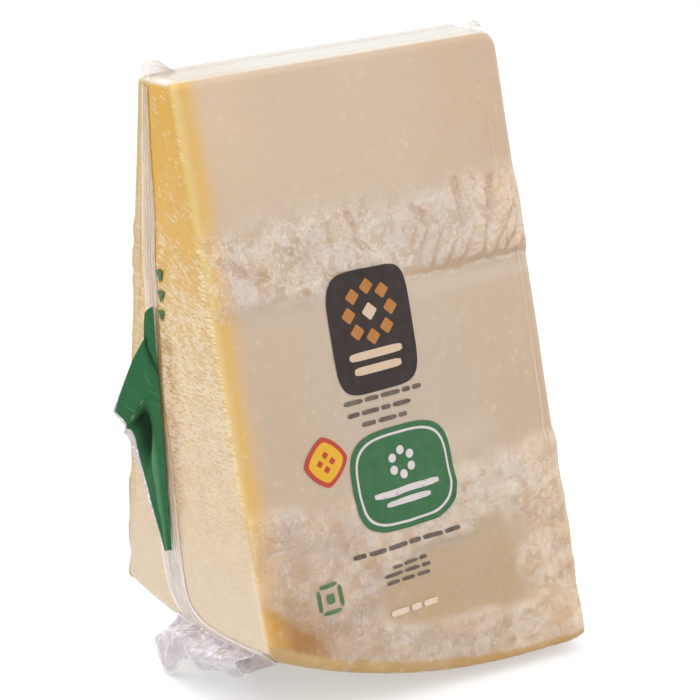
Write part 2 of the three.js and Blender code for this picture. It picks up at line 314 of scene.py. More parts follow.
def inset_of(sharp):
    """Nearest point that lies an edge radius inside the wedge: each coordinate is held within the
    smaller wedge's sides, and the corner of the middle cut and the tip is rounded more."""
    x, y, z = (sharp[..., axis] for axis in range(3))
    half = half_width(-z) - EDGE_RADIUS / math.cos(HALF_ANGLE)
    floor = np.sqrt((side_radius(x) - EDGE_RADIUS) ** 2 - y**2)
    x = np.clip(x, EDGE_RADIUS, HALF_HEIGHT - EDGE_RADIUS)
    y = np.clip(y, -half, half)
    z = np.clip(z, -floor, -TIP_DEPTH - EDGE_RADIUS)
    right, above = x - (HALF_HEIGHT - CORNER_RADIUS), z + TIP_DEPTH + CORNER_RADIUS
    reach, spare = np.hypot(right, above), CORNER_RADIUS - EDGE_RADIUS
    beyond = (right > 0) & (above > 0) & (reach > spare)
    pull = np.where(beyond, 1 - spare / np.maximum(reach, spare), 0)
    return np.stack([x - right * pull, y, z - above * pull], -1)


def on_floor(points):
    """Points below the floor moved straight up to it."""
    short = np.maximum(0, FLOOR_LEVEL - points @ TRUE_UP)
    return points + short[..., None] * TRUE_UP


def in_frame(points):
    """Points from the wheel's axes to the object's own frame: one turn by the lean and one shift."""
    return points @ TURN.T + SHIFT


print("the flat spot lies at", in_frame(LOWEST + FLAT_CUT * TRUE_UP).round(3))

# %% [markdown]
# ## Relief of the cut faces
#
# A knife leaves smooth cheese, and a wedge driven into the wheel splits it, which leaves rough bands.
# The coarse relief, swells of about a centimetre, is part of the construction model and repeated
# here. On top come flakes: lumps a few millimetres across with creases between them, pulled out into
# slanting ridges at the right-hand end of the upper band, with pits and a few long hollows. All of it
# fades out towards the edges, where the film is stretched tight and holds the cheese down, and in the
# dried corner at the lower left, where the cheese is hard and amber.

# %% Rough zones and coarse relief


def island(x, radius):
    """Share of the smooth island: a rounded rectangle, |a|^4 + |b|^4 < 1, with a wavering shore. It
    reaches higher at its right-hand end."""
    across = (x - PATCH["across"]) / PATCH["half_width"]
    taper = 1 - PATCH_TAPER * smooth(-across, 0.2, 1)
    down = (radius - PATCH["radius"]) / PATCH["half_height"] / taper
    down = np.where(down < 0, down / (1 + PATCH_RISE * smooth(across, 0, 0.8)), down)
    shore = (across**4 + down**4) ** 0.25
    return 1 - smooth(shore + 0.35 * (noise(x / 9, 5.0, radius / 9) - 0.5), 0.8, 1.1)


def radius_of(point):
    """Way of a point from the wheel's axis."""
    return np.hypot(point[..., 1], point[..., 2])


def roughness(point, front, reach=0.0):
    """How rough the cheese is, from 0 where it was sliced to 1 where it was split: two bands across
    the cut with wavering edges, and a smooth island in the lower band of the front cut. With a reach
    the bands start higher by about as much and their edges fray, as the colour of crumbs does."""
    x, radius = point[..., 0], radius_of(point)
    waver = WAVER * (noise(x / WAVER_LENGTH, np.where(front, 3.0, 9.0), radius / WAVER_LENGTH) - 0.5)
    fray = reach * (noise(x / FRAY, np.where(front, 21.0, 27.0), radius / FRAY) - 0.5)
    top, bottom = UPPER_BAND
    upper = smooth(radius + 0.7 * fray, top + waver - reach, top + 7 + waver - reach / 2)
    upper = upper * (1 - smooth(radius + 0.4 * fray, bottom - 5 + waver / 2, bottom + 1 + waver / 2))
    lower = smooth(radius + 0.7 * fray, LOWER_BAND + waver - reach / 2, LOWER_BAND + 6 + waver)
    return upper + lower * np.where(front, 1 - island(x, radius), 1)


def facing(normal):
    """How far a point faces along the cuts, the middle cut and the flat rind, each from 0 to 1."""
    return (smooth(part, 0.5, 0.95) for part in (np.abs(normal[..., 1]), normal[..., 0], -normal[..., 0]))


def course(toward, depth):
    """Number that stays the same along the streaks of the flat rind: the depth less the slope times
    the way to the front. The streaks slope by STREAK_SLOPE near the tip and lie level at the side."""
    return depth - STREAK_SLOPE * (1 - smooth(depth, 60, 125)) * toward


def coarse_relief(point, normal):
    """Height in millimetres of the swells over the smooth wedge, as the construction model has it."""
    cut, middle, rind = facing(normal)
    front = normal[..., 1] < 0
    rough = roughness(point, front)
    belly = BACK_SWELL * (1 - 0.75 * smooth(-point[..., 2], *SWELL_END))
    on_cut = rough * (BAND_LIFT + crags(point, *BAND_CRAGS))
    on_cut = on_cut + np.where(front, 0, belly) + crags(point, *CUT_CRAGS)
    on_middle = crags(point, *MIDDLE_CRAGS) + 0.8 * roughness(point, True) - 0.4
    return cut * on_cut + middle * on_middle + rind * crags(point, *RIND_CRAGS)


print("split cheese lies between the radii", UPPER_BAND, "and from", LOWER_BAND, "mm on")

# %% Lumps and fingers
FINGER = 5.2  # from one finger-like ridge to the next
FINGER_SLANT = 0.58  # how far the fingers lean to the right over each millimetre of height
FINGERS_FROM = (58.0, 72.0)  # place across where they start and are full


def lumps(a, b, seed):
    """Rounded lumps, 1 - 1.4 distance^2 about scattered points, each with a height of its own and cut
    off by a crease halfway to its neighbours. a and b are places in lump widths."""
    nearest, second, value = cells(a, b, seed)
    crest = (1 - np.minimum(1, nearest**2 * 1.4)) * (0.6 + 0.4 * value)
    return crest * smooth(second - nearest, -0.1, 0.25)


def finger_place(x, radius, seed):
    """Number of the finger at each place, counted from left to right. The fingers lean and waver."""
    return (x + FINGER_SLANT * radius + 2.6 * (noise(x / 9, radius / 9, seed + 9) - 0.5)) / FINGER


def fingered(x, radius, seed):
    """Share of the fingers: the right-hand end of the upper band, from a radius of its own for each
    finger down to the band's lower edge, where all end together."""
    start = UPPER_BAND[0] + 7 + 8 * lattice(np.floor(finger_place(x, radius, seed)), seed, 3.0)
    end = UPPER_BAND[1]
    share = smooth(x, *FINGERS_FROM) * smooth(radius, start, start + 3)
    return share * (1 - smooth(radius, end - 2.5, end - 0.5))


print("fingers on each cut:", round((HALF_HEIGHT - FINGERS_FROM[0]) / FINGER))

# %% Hollows
HOLLOWS = (  # half width, then places across and radii of the points that each hollow runs through
    (1.1, (68, 81), (71.6, 83.4), (73.4, 88.3), (71.3, 92.1), (67.9, 95.4)),
    (1.3, (84.2, 76), (84.1, 82), (84.6, 88)),
    (1.3, (97.2, 76.5), (94.6, 81.7), (95.2, 84.8), (93.5, 88.8)),
    (1.0, (46.5, 78.7), (48.3, 82.9), (48.5, 86.8), (50.4, 89.3)),
    (0.9, (63.2, 98.4), (65.7, 97.8), (66.7, 96.3)),
    (1.1, (102.7, 88), (98.7, 95)),
    (1.7, (15.8, 91), (18, 91.4)),
    (1.6, (9.6, 87), (11, 88.4)),
    (1.8, (38.6, 95.2), (41, 96)),
    (1.4, (27.4, 98), (29.6, 97.6)),
    (1.3, (25.6, 85.2), (27.2, 85.8)),
)


def hollows(x, radius):
    """Share of the hollows: 1 on a line through each one's points, and less beside it by a bell with a
    flat top, exp(-(distance / half width)^4)."""
    share = 0.0
    for half, *stops in HOLLOWS:
        for (x0, r0), (x1, r1) in zip(stops, stops[1:]):
            along = ((x - x0) * (x1 - x0) + (radius - r0) * (r1 - r0)) / ((x1 - x0) ** 2 + (r1 - r0) ** 2)
            along = np.clip(along, 0, 1)
            away = np.hypot(x - mix(x0, x1, along), radius - mix(r0, r1, along))
            share = np.maximum(share, bell(away, 0, half, 4))
    return share


print("hollows:", len(HOLLOWS))

# %% Flakes and pits
FLAKE = 5.0  # usual width of a flake, in millimetres
CRUMB = 2.2  # width of the smaller lumps on the flakes
RAGGED, RAGGED_LENGTH = 2.2, 3.4  # how far the lumps are pulled out of shape, and over what length
LOBE = (64.4, 87.5, 6.5, 8.0)  # beside the first hollow: place across, radius and half sizes
PIT = 2.4  # width of a pit


def seed_of(front):
    """Seed of the lumps and fingers, which differ between the front cut and the others."""
    return np.where(front, 5.0, 31.0)


def flakes(point, front):
    """Height of the split cheese from about -1.4 to 1.1: lumps of two sizes, which give way to fingers
    with round tops, |sin|^0.6, at the right-hand end of the upper band. The front cut has some long
    hollows, and a smooth lobe beside the first one."""
    x, radius = point[..., 0], radius_of(point)
    seed = seed_of(front)
    across = x + RAGGED * (noise(x / RAGGED_LENGTH, radius / RAGGED_LENGTH, seed) - 0.5)
    down = radius + RAGGED * (noise(x / RAGGED_LENGTH, radius / RAGGED_LENGTH, seed + 4) - 0.5)
    lump = 0.72 * lumps(across / FLAKE, down / FLAKE, seed)
    lump = lump + 0.28 * lumps(across / CRUMB, down / CRUMB, seed + 7)
    crest = np.abs(np.sin(math.pi * finger_place(x, radius, seed))) ** 0.6
    height = mix(lump, 0.15 * lump + 1.5 * crest, fingered(x, radius, seed)) - 0.5
    across, down = (x - LOBE[0]) / LOBE[2], (radius - LOBE[1]) / LOBE[3]
    lobe = front * smooth(1.1 - np.hypot(across, down), 0, 0.6)
    return mix(height, 0.3 * height + 0.5, 0.85 * lobe) - 0.9 * front * hollows(x, radius)


def pits(point, front):
    """Share of the pit depth: 1 in the deepest tenth of a noise field as coarse as a pit is wide."""
    field = noise(point[..., 0] / PIT, np.where(front, 11.0, 17.0), point[..., 2] / PIT)
    return smooth(field, 0.76, 0.92)


print("flakes are", FLAKE, "mm wide and pits", PIT)

# %% Dried corner and fine relief
FLAKE_HEIGHT = 0.5
PIT_DEPTH = 0.5
GRAIN = (0.05, 1.7)  # height and length of the grain on all of the cheese


def dried(x, radius):
    """Share of the amber corner where the flat rind, the side and the cut meet and the cheese dried: a
    strip between two lines of steady slope that thins out to the right."""
    waver = 1.6 * (noise(x / 5, 3.5, radius / 5) - 0.5)
    below = smooth(radius + waver, 174.5 + 0.65 * x, 180.5 + 0.65 * x)
    above = 1 - smooth(radius + waver / 2, 191.5 + 0.2 * x, 194 + 0.2 * x)
    return below * above * (1 - smooth(x + waver, 11, 29))


def fine_relief(point, normal):
    """Height in millimetres of flakes and pits on the split parts of the cuts. Both bands are calmer
    towards the flat rind, and the dried corner is nearly smooth."""
    cut, middle, rind = facing(normal)
    front = normal[..., 1] < 0
    calm = 0.5 + 0.6 * smooth(point[..., 0], 30, 70)
    split = FLAKE_HEIGHT * calm * flakes(point, front) - PIT_DEPTH * pits(point, front)
    split = split * (1 - 0.85 * dried(point[..., 0], radius_of(point)))
    grain = crags(point, *GRAIN)
    across = np.stack([point[..., 1], point[..., 0], point[..., 2]], -1)
    on_middle = roughness(point, True) * 0.6 * flakes(across, True)
    return cut * (roughness(point, front) * split + grain) + middle * on_middle + rind * 2 * grain


print("flakes stand up to", FLAKE_HEIGHT, "mm high and pits reach as deep as", PIT_DEPTH, "mm")

# %% [markdown]
# ## The film as a stretched skin
#
# Shrink film under vacuum is a taut skin over an uneven ground: it rests on the crests and bridges
# the hollows, sagging a little into them. Relaxing does this well: each point of the skin is moved
# to the average of its four neighbours less a small pull, and never below the ground. After some
# tens of rounds the skin is smooth between the crests. The gap that is left under it matters for the
# looks too: where film touches the cheese it is as clear as water, and where there is air it is milky.

# %% Relax the film over the cheese
SUCTION = 0.012  # how far the vacuum pulls a point down in each round
ROUNDS = 60


def relaxed(ground):
    """Skin over a grid of heights: the average of the four neighbours less the suction, but never
    below the ground. The grid's border stays on the ground."""
    skin = ground.copy()
    for _ in range(ROUNDS):
        sum_of_four = skin[2:, 1:-1] + skin[:-2, 1:-1] + skin[1:-1, 2:] + skin[1:-1, :-2]
        skin[1:-1, 1:-1] = np.maximum(ground[1:-1, 1:-1], sum_of_four / 4 - SUCTION)
    return skin


pit = np.pad(np.full((7, 7), -1.0), 1)
print("over a square pit 1 mm deep the film sags", round(float(-relaxed(pit).min()), 2), "mm")

# %% Creases of the film and strip of side rind
WRINKLES = (  # place, height and seed of each long crease beside the right-hand edge
    (HALF_HEIGHT - 4.4, 0.30, 0.0),
    (HALF_HEIGHT - 7.0, 0.16, 40.0),
    (HALF_HEIGHT - 10.5, 0.08, 80.0),
)
CREASE_WIDTH = 0.28


def wrinkles(point, normal):
    """Creases of the film. Beside the right-hand edge of each cut they are narrow bell-shaped ridges at
    a steady distance from the edge, which waver with the depth and come and go. On the lower band
    they are faint lines that rise to the right, where a stretched noise field crosses one half."""
    x, depth = point[..., 0], -point[..., 2]
    total = 0.0
    for place, height, seed in WRINKLES:
        middle = place + 1.6 * (noise(depth / 34, seed, 0.5) - 0.5)
        strength = smooth(noise(depth / 23, seed, 4.5), 0.25, 0.7) * (1 - 0.6 * smooth(depth, 140, 165))
        total = total + height * strength * bell(x, middle, CREASE_WIDTH)
    crossing = np.abs(noise((x - 0.5 * depth) / 30, 6.5, (depth + 0.5 * x) / 9) - 0.5)
    total = total + 0.08 * (1 - smooth(crossing, 0, 0.05)) * smooth(depth, LOWER_BAND - 12, LOWER_BAND)
    return total * smooth(np.abs(normal[..., 1]), 0.5, 0.95)


def side_strip(x, radius):
    """Share of the strip of side rind that shows below the cut: the wheel's side curves into view for
    a width that shrinks to the right, with a wavering border."""
    wide = 4.6 - 0.022 * x + 0.8 * (noise(radius / 16, 2.5, x / 9) - 0.5)
    return 1 - smooth(side_radius(x) - radius, wide - 0.8, wide + 0.6)


print("long creases beside the right-hand edge:", len(WRINKLES))

# %% One rule for cheese and film
FILM_GAP = 0.12  # film over the crests, in millimetres


def wedge_skin(row, x, side, film):
    """Point of the cheese, or of the film over it, with all that the finishes need to know of it."""
    sharp = sharp_wedge(row, x, side)
    inset = inset_of(sharp)
    normal = sharp - inset
    normal = normal / np.linalg.norm(normal, axis=-1, keepdims=True)
    rounded = inset + normal * EDGE_RADIUS
    front = normal[..., 1] < 0
    ground = coarse_relief(rounded, normal) + fine_relief(rounded, normal)
    skin, creases = relaxed(ground), wrinkles(rounded, normal)
    height = skin + creases + FILM_GAP if film else ground
    cut, middle, rind = facing(normal)
    rough = roughness(rounded, front, CRUMBLY_REACH) * np.maximum(cut, middle)
    placed = in_frame(on_floor(rounded + normal * height[..., None]))
    # how far the surface faces up, which carries the painted light on the tip
    top = np.where(front, smooth(normal[..., 2], 0.6, 0.9), smooth(normal[..., 2], 0.1, 0.5))
    x, toward, depth = rounded[..., 0], -rounded[..., 1], -rounded[..., 2]
    radius, seed = radius_of(rounded), seed_of(front)
    rough = rough * (1 - 0.9 * dried(x, radius)) * (1 - 0.8 * side_strip(x, radius))
    marks = (rough, flakes(rounded, front), skin - ground, creases, rind, top)
    fingers = (cut * fingered(x, radius, seed), finger_place(x, radius, seed))
    wheel_place = (x, toward, radius, course(toward, depth))
    return np.concatenate([placed, np.stack(marks + fingers + wheel_place, -1)], -1)


print("the film stands", FILM_GAP, "mm over the crests")

# %% Cheese and film
COLUMNS = join(
    spread(0, EDGE_RADIUS, 4),
    spread(EDGE_RADIUS, HALF_HEIGHT - 9.5, 104),
    spread(HALF_HEIGHT - 9.5, HALF_HEIGHT - EDGE_RADIUS, 20),
    spread(HALF_HEIGHT - EDGE_RADIUS, HALF_HEIGHT, 4),
)
ROWS = join(
    spread(TIP_DEPTH, TIP_DEPTH + EDGE_RADIUS, 4),
    spread(TIP_DEPTH + EDGE_RADIUS, 74, 38),
    spread(74, 104, 40),
    spread(104, STRETCH_DEPTH, 48),
    spread(STRETCH_DEPTH, RIM_RADIUS - EDGE_RADIUS, 86),
    spread(RIM_RADIUS - EDGE_RADIUS, RIM_RADIUS, 4),
)
SIDES = join(
    spread(-1, EDGE_SHARE - 1, 6),
    spread(EDGE_SHARE - 1, 1 - EDGE_SHARE, 34),
    spread(1 - EDGE_SHARE, 1, 6),
)
MARKS = ("rough", "flake", "air", "wrinkle", "rind", "top", "fingered", "finger")
MARKS += ("across", "toward", "radius", "course")

cheese_points, cheese_quads = block(ROWS, COLUMNS, SIDES, lambda u, v, w: wedge_skin(u, v, w, False))
film_points, film_quads = block(ROWS, COLUMNS, SIDES, lambda u, v, w: wedge_skin(u, v, w, True))
cheese = new_piece("cheese", cheese_points, cheese_quads, MARKS)
film = new_piece("film", film_points, film_quads, MARKS)
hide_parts("cheese_wedge")
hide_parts("cheese_wedge")
air_gap = cheese_points[:, 3 + MARKS.index("air")]  # the marks follow x, y and z
print("widest air gap:", round(float(air_gap.max()), 2), "mm")

# %% [markdown]
# ## A short way to write materials
#
# A material is a net of nodes, and most of its lines only say which output goes into which input. A
# small class keeps the net and gives each common node a short call that returns its output, so a
# finish reads like a recipe. Patterns read the object's own coordinates in metres, or the attributes
# that were stored with the mesh, so they stay on the surface from every side.

# %% Paint chips


def srgb(red, green, blue):
    """Colour of a paint chip, 0 to 255 each, in the linear values that shaders use."""
    parts = np.array([red, green, blue]) / 255
    linear = np.where(parts <= 0.04045, parts / 12.92, ((parts + 0.055) / 1.055) ** 2.4)
    return (*linear.tolist(), 1.0)


print("paint chip check:", [round(part, 3) for part in srgb(188, 188, 188)])

# %% Recipe for a node material


class Finish:
    """A material whose node net is built by calls that each return an output socket."""

    def __init__(self, name):
        self.material = bpy.data.materials.new(name)
        self.material.use_nodes = True
        self.net = self.material.node_tree
        self.net.nodes.clear()
        self.output = self.net.nodes.new("ShaderNodeOutputMaterial")
        self.place = self.net.nodes.new("ShaderNodeTexCoord").outputs["Object"]

    def node(self, kind, sockets, **settings):
        """A node of one kind with its settings, and its sockets filled with values or outputs."""
        made = self.net.nodes.new(kind)
        for key, value in settings.items():
            setattr(made, key, value)
        for key, value in sockets.items():
            if isinstance(value, bpy.types.NodeSocket):
                self.net.links.new(value, made.inputs[key])
            else:
                made.inputs[key].default_value = value
        return made

    def mark(self, name):
        return self.node("ShaderNodeAttribute", {}, attribute_name=name).outputs["Fac"]

    def math(self, operation, a, b=0.0, c=0.0, clamp=False):
        sockets = {0: a, 1: b, 2: c}
        return self.node("ShaderNodeMath", sockets, operation=operation, use_clamp=clamp).outputs[0]

    def times(self, first, *others):
        """Product of any number of values."""
        for other in others:
            first = self.math("MULTIPLY", first, other)
        return first

    def step(self, value, start, end, low=0.0, high=1.0):
        """Eased step of a value, from low at start to high at end."""
        sockets = {"Value": value, "From Min": start, "From Max": end, "To Min": low, "To Max": high}
        return self.node("ShaderNodeMapRange", sockets, interpolation_type="SMOOTHSTEP").outputs[0]

    def ridge(self, value, middle, inner, outer):
        """1 within inner of the middle value, and 0 beyond outer."""
        return self.step(self.math("ABSOLUTE", self.math("SUBTRACT", value, middle)), inner, outer, 1, 0)

    def noise(self, size, detail=2.0, twist=0.0, vector=None):
        """Noise from 0 to 1 whose swells are size millimetres across."""
        unit = 1 if vector else METRES  # a piece's own coordinates are in millimetres
        sockets = {"Vector": vector or self.place, "Scale": 1 / (size * unit), "Detail": detail}
        return self.node("ShaderNodeTexNoise", {**sockets, "Distortion": twist}).outputs["Fac"]

    def cells(self, size):
        """Cell pattern of one point to each cube of size millimetres: distance and random colour."""
        sockets = {"Vector": self.place, "Scale": 1 / (size * METRES)}
        return self.node("ShaderNodeTexVoronoi", sockets).outputs

    def along(self, first, second, third=0.0):
        """Coordinates made of two or three numbers, for a pattern that follows a piece's own grid."""
        return self.node("ShaderNodeCombineXYZ", {0: first, 1: second, 2: third}).outputs[0]

    def blend(self, share, a, b):
        """Colour a where share is 0 and b where it is 1."""
        made = self.node("ShaderNodeMix", {0: share, 6: a, 7: b}, data_type="RGBA")
        return made.outputs[2]

    def bump(self, height, distance, under=None):
        """Normal of a height field from 0 to 1 that stands distance millimetres high."""
        sockets = {"Height": height, "Distance": distance * METRES, "Strength": 1.0}
        if under:
            sockets["Normal"] = under
        return self.node("ShaderNodeBump", sockets).outputs[0]

    def shader(self, kind, **sockets):
        named = {key.replace("_", " "): value for key, value in sockets.items()}
        return self.node("ShaderNode" + kind, named).outputs[0]

    def shader_mix(self, share, a, b):
        return self.node("ShaderNodeMixShader", {0: share, 1: a, 2: b}).outputs[0]

    def finish(self, shader):
        self.net.links.new(shader, self.output.inputs["Surface"])
        return self.material


print("calls of a finish:", ", ".join(name for name in vars(Finish) if not name.startswith("_")))

# %% [markdown]
# ## The cheese's colour
#
# Hard cheese is straw-coloured and slightly see-through, so light spreads in it and softens its
# shadows. It is deeper yellow near the rind, where it dries out, and the sliced parts are a shade
# darker than the split ones. The broad colours are worked out for each point of the mesh from where
# it lies in the wheel, and stored as a colour attribute. Some of them are painted light and shade:
# the paste darkens down the cut, the crevices and the rind beside the seam are darker, and the strip
# under the upper band, the front cut's rounded edge and the tip where it faces up are paler. The
# material adds what is finer than the mesh: pale crystals in the sliced parts, flat tan islands in
# white crumbs on the split ones, painted shade in cracks, between the fingers and under their ends,
# pale threads on the flat rind, and fine grain.

# %% Paints of the cheese
PASTE_TOP = srgb(208, 187, 163)
# paste painted darker down the cut: painted shade of the light falling off towards the bottom
PASTE_MIDDLE_SHADED = srgb(199, 182, 162)
PASTE_RIGHT = srgb(203, 178, 150)
PASTE_LOW_SHADED = srgb(194, 168, 132)
SPLIT = srgb(204, 189, 174)
SPLIT_CREAM = srgb(209, 190, 164)
SPLIT_WHITE = srgb(214, 203, 193)
# pale paint: painted light under the upper band's step, where it would be in shade, and a pale haze above the
# lower band
HAZE_AND_PAINTED_LIGHT = srgb(208, 194, 178)
SPLIT_LOW = srgb(190, 169, 149)
LOW_TAN = srgb(178, 142, 106)
LOW_CREAM = srgb(210, 186, 150)
# painted shade: tan in the crevices between flakes, and darker still in the deepest hollows
CREVICE_SHADE = srgb(190, 161, 130)
HOLLOW_SHADE = srgb(180, 147, 110)
# painted highlight along the rounded edge between the front cut and the flat rind
EDGE_HIGHLIGHT = srgb(218, 192, 124)
EDGE_YELLOW = srgb(220, 183, 100)
EDGE_PEACH = srgb(212, 181, 142)
TOP_LEFT = srgb(221, 197, 164)
AMBER = srgb(170, 117, 16)
AMBER_BRIGHT = srgb(210, 158, 32)
RIND_TOP = srgb(232, 187, 42)
RIND_LOW = srgb(228, 205, 168)
RIND_FOOT = srgb(233, 215, 190)
# painted shade beside the seam, over amber rind: browner and darker than the rind round it
SEAM_SHADE_AND_AMBER = srgb(196, 148, 88)
RIND_SIDE = srgb(194, 160, 94)
RIND_SIDE_RIGHT = srgb(196, 155, 80)
# painted light: the tip is paler where it faces up, and less so at the left
TIP_PAINTED_LIGHT = srgb(232, 227, 219)
TIP_LEFT_PAINTED_LIGHT = srgb(226, 214, 196)
WARM_END = srgb(224, 196, 158)


print("paste near the tip:", [round(part, 3) for part in PASTE_TOP[:3]])

# %% Broad colours of the cheese


def wedge_tint(points):
    """Broad colour of each point from its place in the wheel: paste that darkens with the radius, which
    is painted shade, clouded with cream and white where it is split, with painted shade in the
    crevices and painted light under the upper band, yellow at the flat rind with painted shade beside
    the seam, tan at the bulged side, a painted highlight along the front cut's rounded edge, and cream
    painted light on the tip where it faces up."""
    marks = dict(zip(MARKS, points[:, 3:].T))
    x, radius, rough = marks["across"], marks["radius"], marks["rough"]
    colour = np.tile(PASTE_TOP, (len(points), 1))

    def lay(paint, share):
        colour[:] = mix(colour, np.array(paint), np.clip(share, 0, 1)[:, None])

    def clouds(size, seed):
        return smooth(noise(x / size, seed, radius / size), 0.42, 0.78)

    below = LOWER_BAND + 10 * smooth(x, 25, 45)  # where the lower band starts to darken
    low = smooth(radius, below - 4, below + 22)
    # painted shade: the paste darkens down the cut, as the light falls off towards the bottom
    lay(PASTE_MIDDLE_SHADED, smooth(radius, 55, 125))
    lay(PASTE_RIGHT, 0.8 * smooth(x, 60, 100))
    lay(PASTE_LOW_SHADED, smooth(radius, 145, 190))
    lay(SPLIT, rough * 0.9)
    lay(SPLIT_LOW, rough * low)
    lay(LOW_TAN, rough * low * (1 - smooth(x, 10, 40)) * smooth(radius, 160, 180))
    lay(LOW_CREAM, 0.8 * rough * low * smooth(x, 56, 92))
    lay(WARM_END, 0.6 * rough * smooth(x, 80, 100))
    lay(SPLIT_CREAM, 0.6 * rough * clouds(6.5, 3.1) * (1 - 0.5 * low))
    lay(SPLIT_WHITE, 0.6 * rough * clouds(4.2, 8.1) * (1 - 0.4 * low))
    # painted shade in the crevices and hollows of the split cheese, darker where the flakes are low
    lay(CREVICE_SHADE, 0.75 * rough * smooth(-marks["flake"], 0.15, 0.45))
    lay(HOLLOW_SHADE, mix(0.5, 0.85, smooth(x, 30, 60)) * rough * smooth(-marks["flake"], 0.45, 0.9))
    # painted light that lightens the shade below the upper band's step; then a pale haze above the lower band
    lay(HAZE_AND_PAINTED_LIGHT, 0.6 * bell(radius, UPPER_BAND[1] + 3, 2.6) * smooth(x, 30, 48) * (1 - rough))
    over_lower = bell(radius, LOWER_BAND - 5, 4) * smooth(x, 34, 50) * (1 - smooth(x, 76, 92))
    lay(HAZE_AND_PAINTED_LIGHT, 0.55 * over_lower * (1 - 0.5 * rough))
    waver = 2.0 * (noise(radius / 16, 2.5, x / 9) - 0.5)
    lay(PASTE_RIGHT, 0.5 * (1 - rough) * (1 - smooth(x, 18, 42)) * smooth(radius, 98, 110))
    lay(EDGE_PEACH, 0.85 * (1 - smooth(x + waver, 5.5, mix(12, 9, rough))))
    lay(TOP_LEFT, 0.5 * (1 - smooth(x, 9, 34)) * (1 - smooth(radius, 48, 80)))
    # painted highlight on the rounded edge of the front cut, weaker and yellower lower down
    lower_edge, past_upper = smooth(radius, 150, 164), smooth(radius, 98, 130)
    by_edge = 1 - smooth(x + waver, mix(3.2, 1.6, rough), mix(7.6, 5.6, rough))
    at_edge = 1 - smooth(x, 0.6, 3.4)
    lay(EDGE_YELLOW, by_edge * (1 - 0.6 * lower_edge))
    lay(EDGE_HIGHLIGHT, at_edge * (1 - 0.7 * lower_edge) * (1 - 0.35 * past_upper))
    lay(EDGE_YELLOW, 0.5 * at_edge * past_upper * (1 - lower_edge))
    corner = dried(x, radius)
    lay(AMBER, corner)
    lay(AMBER_BRIGHT, 0.8 * corner * (1 - smooth(x + waver, 4, 9)))
    lay(EDGE_YELLOW, 0.55 * corner * (1 - smooth(x, 1.2, 3.2)))
    on_side = side_strip(x, radius)
    lay(RIND_SIDE, on_side)
    lay(RIND_SIDE_RIGHT, on_side * smooth(x, 20, 80))
    lay(RIND_TOP, marks["rind"])
    lay(RIND_LOW, marks["rind"] * smooth(radius, 62, 138))
    lay(RIND_FOOT, marks["rind"] * smooth(radius, 142, 186))
    toward = np.abs(marks["toward"])
    to_cut = half_width(np.sqrt(radius**2 - toward**2)) - toward  # from the flat rind to the nearer cut
    at_border = (1 - smooth(to_cut, 0.9, 3.4)) * (1 - smooth(x, 1.5, 2.6))
    # painted highlight on the flat rind's side of the same edge, fading lower down
    lay(EDGE_HIGHLIGHT, 0.75 * at_border * (1 - smooth(radius, 130, 175)))
    lay(RIND_FOOT, 0.6 * at_border * smooth(radius, 150, 180) * marks["rind"])
    # painted shade on the amber rind beside the seam and the flap
    beside_seam = bell(marks["toward"], -5.2, 2.8) * smooth(radius, 100, 114) * (1 - smooth(radius, 146, 174))
    lay(SEAM_SHADE_AND_AMBER, 0.9 * marks["rind"] * beside_seam)
    # painted light on the parts that face up, paler at the tip and less pale to the left
    lay(TIP_PAINTED_LIGHT, marks["top"])
    lay(TIP_LEFT_PAINTED_LIGHT, 0.8 * marks["top"] * (1 - smooth(x, 10, 35)))
    return colour.astype(np.float32)


def store_tint(piece, colours):
    """Colours on the points of a mesh, under the name tint."""
    piece.data.color_attributes.new("tint", "FLOAT_COLOR", "POINT").data.foreach_set("color", colours.ravel())


cheese_tint = wedge_tint(cheese_points)
store_tint(cheese, cheese_tint)
print("average paste colour:", cheese_tint.mean(0).round(3)[:3])

# %% Cheese material
MOTTLE = srgb(224, 208, 182)
CRYSTAL = srgb(226, 212, 188)
FLAT_TAN = srgb(194, 165, 132)
FLAT_RIM = srgb(232, 221, 212)
CRUMB_WHITE = srgb(229, 217, 206)
# painted shade in the cracks
CRACK_SHADE = srgb(190, 158, 122)
BLOTCH_WHITE = srgb(230, 216, 200)
BLOTCH_PEACH = srgb(200, 162, 124)
# painted shade in the valleys between the fingers, and a painted shadow line under their ends
VALLEY_SHADE = srgb(190, 156, 120)
FINGER_END_SHADOW = srgb(192, 160, 124)
TORN_WHITE = srgb(228, 216, 204)
THREAD_PALE = srgb(245, 232, 205)
THREAD_AMBER = srgb(224, 178, 88)
TO_LOWER = (140, 162)  # radii between which the finish changes to that of the lower band


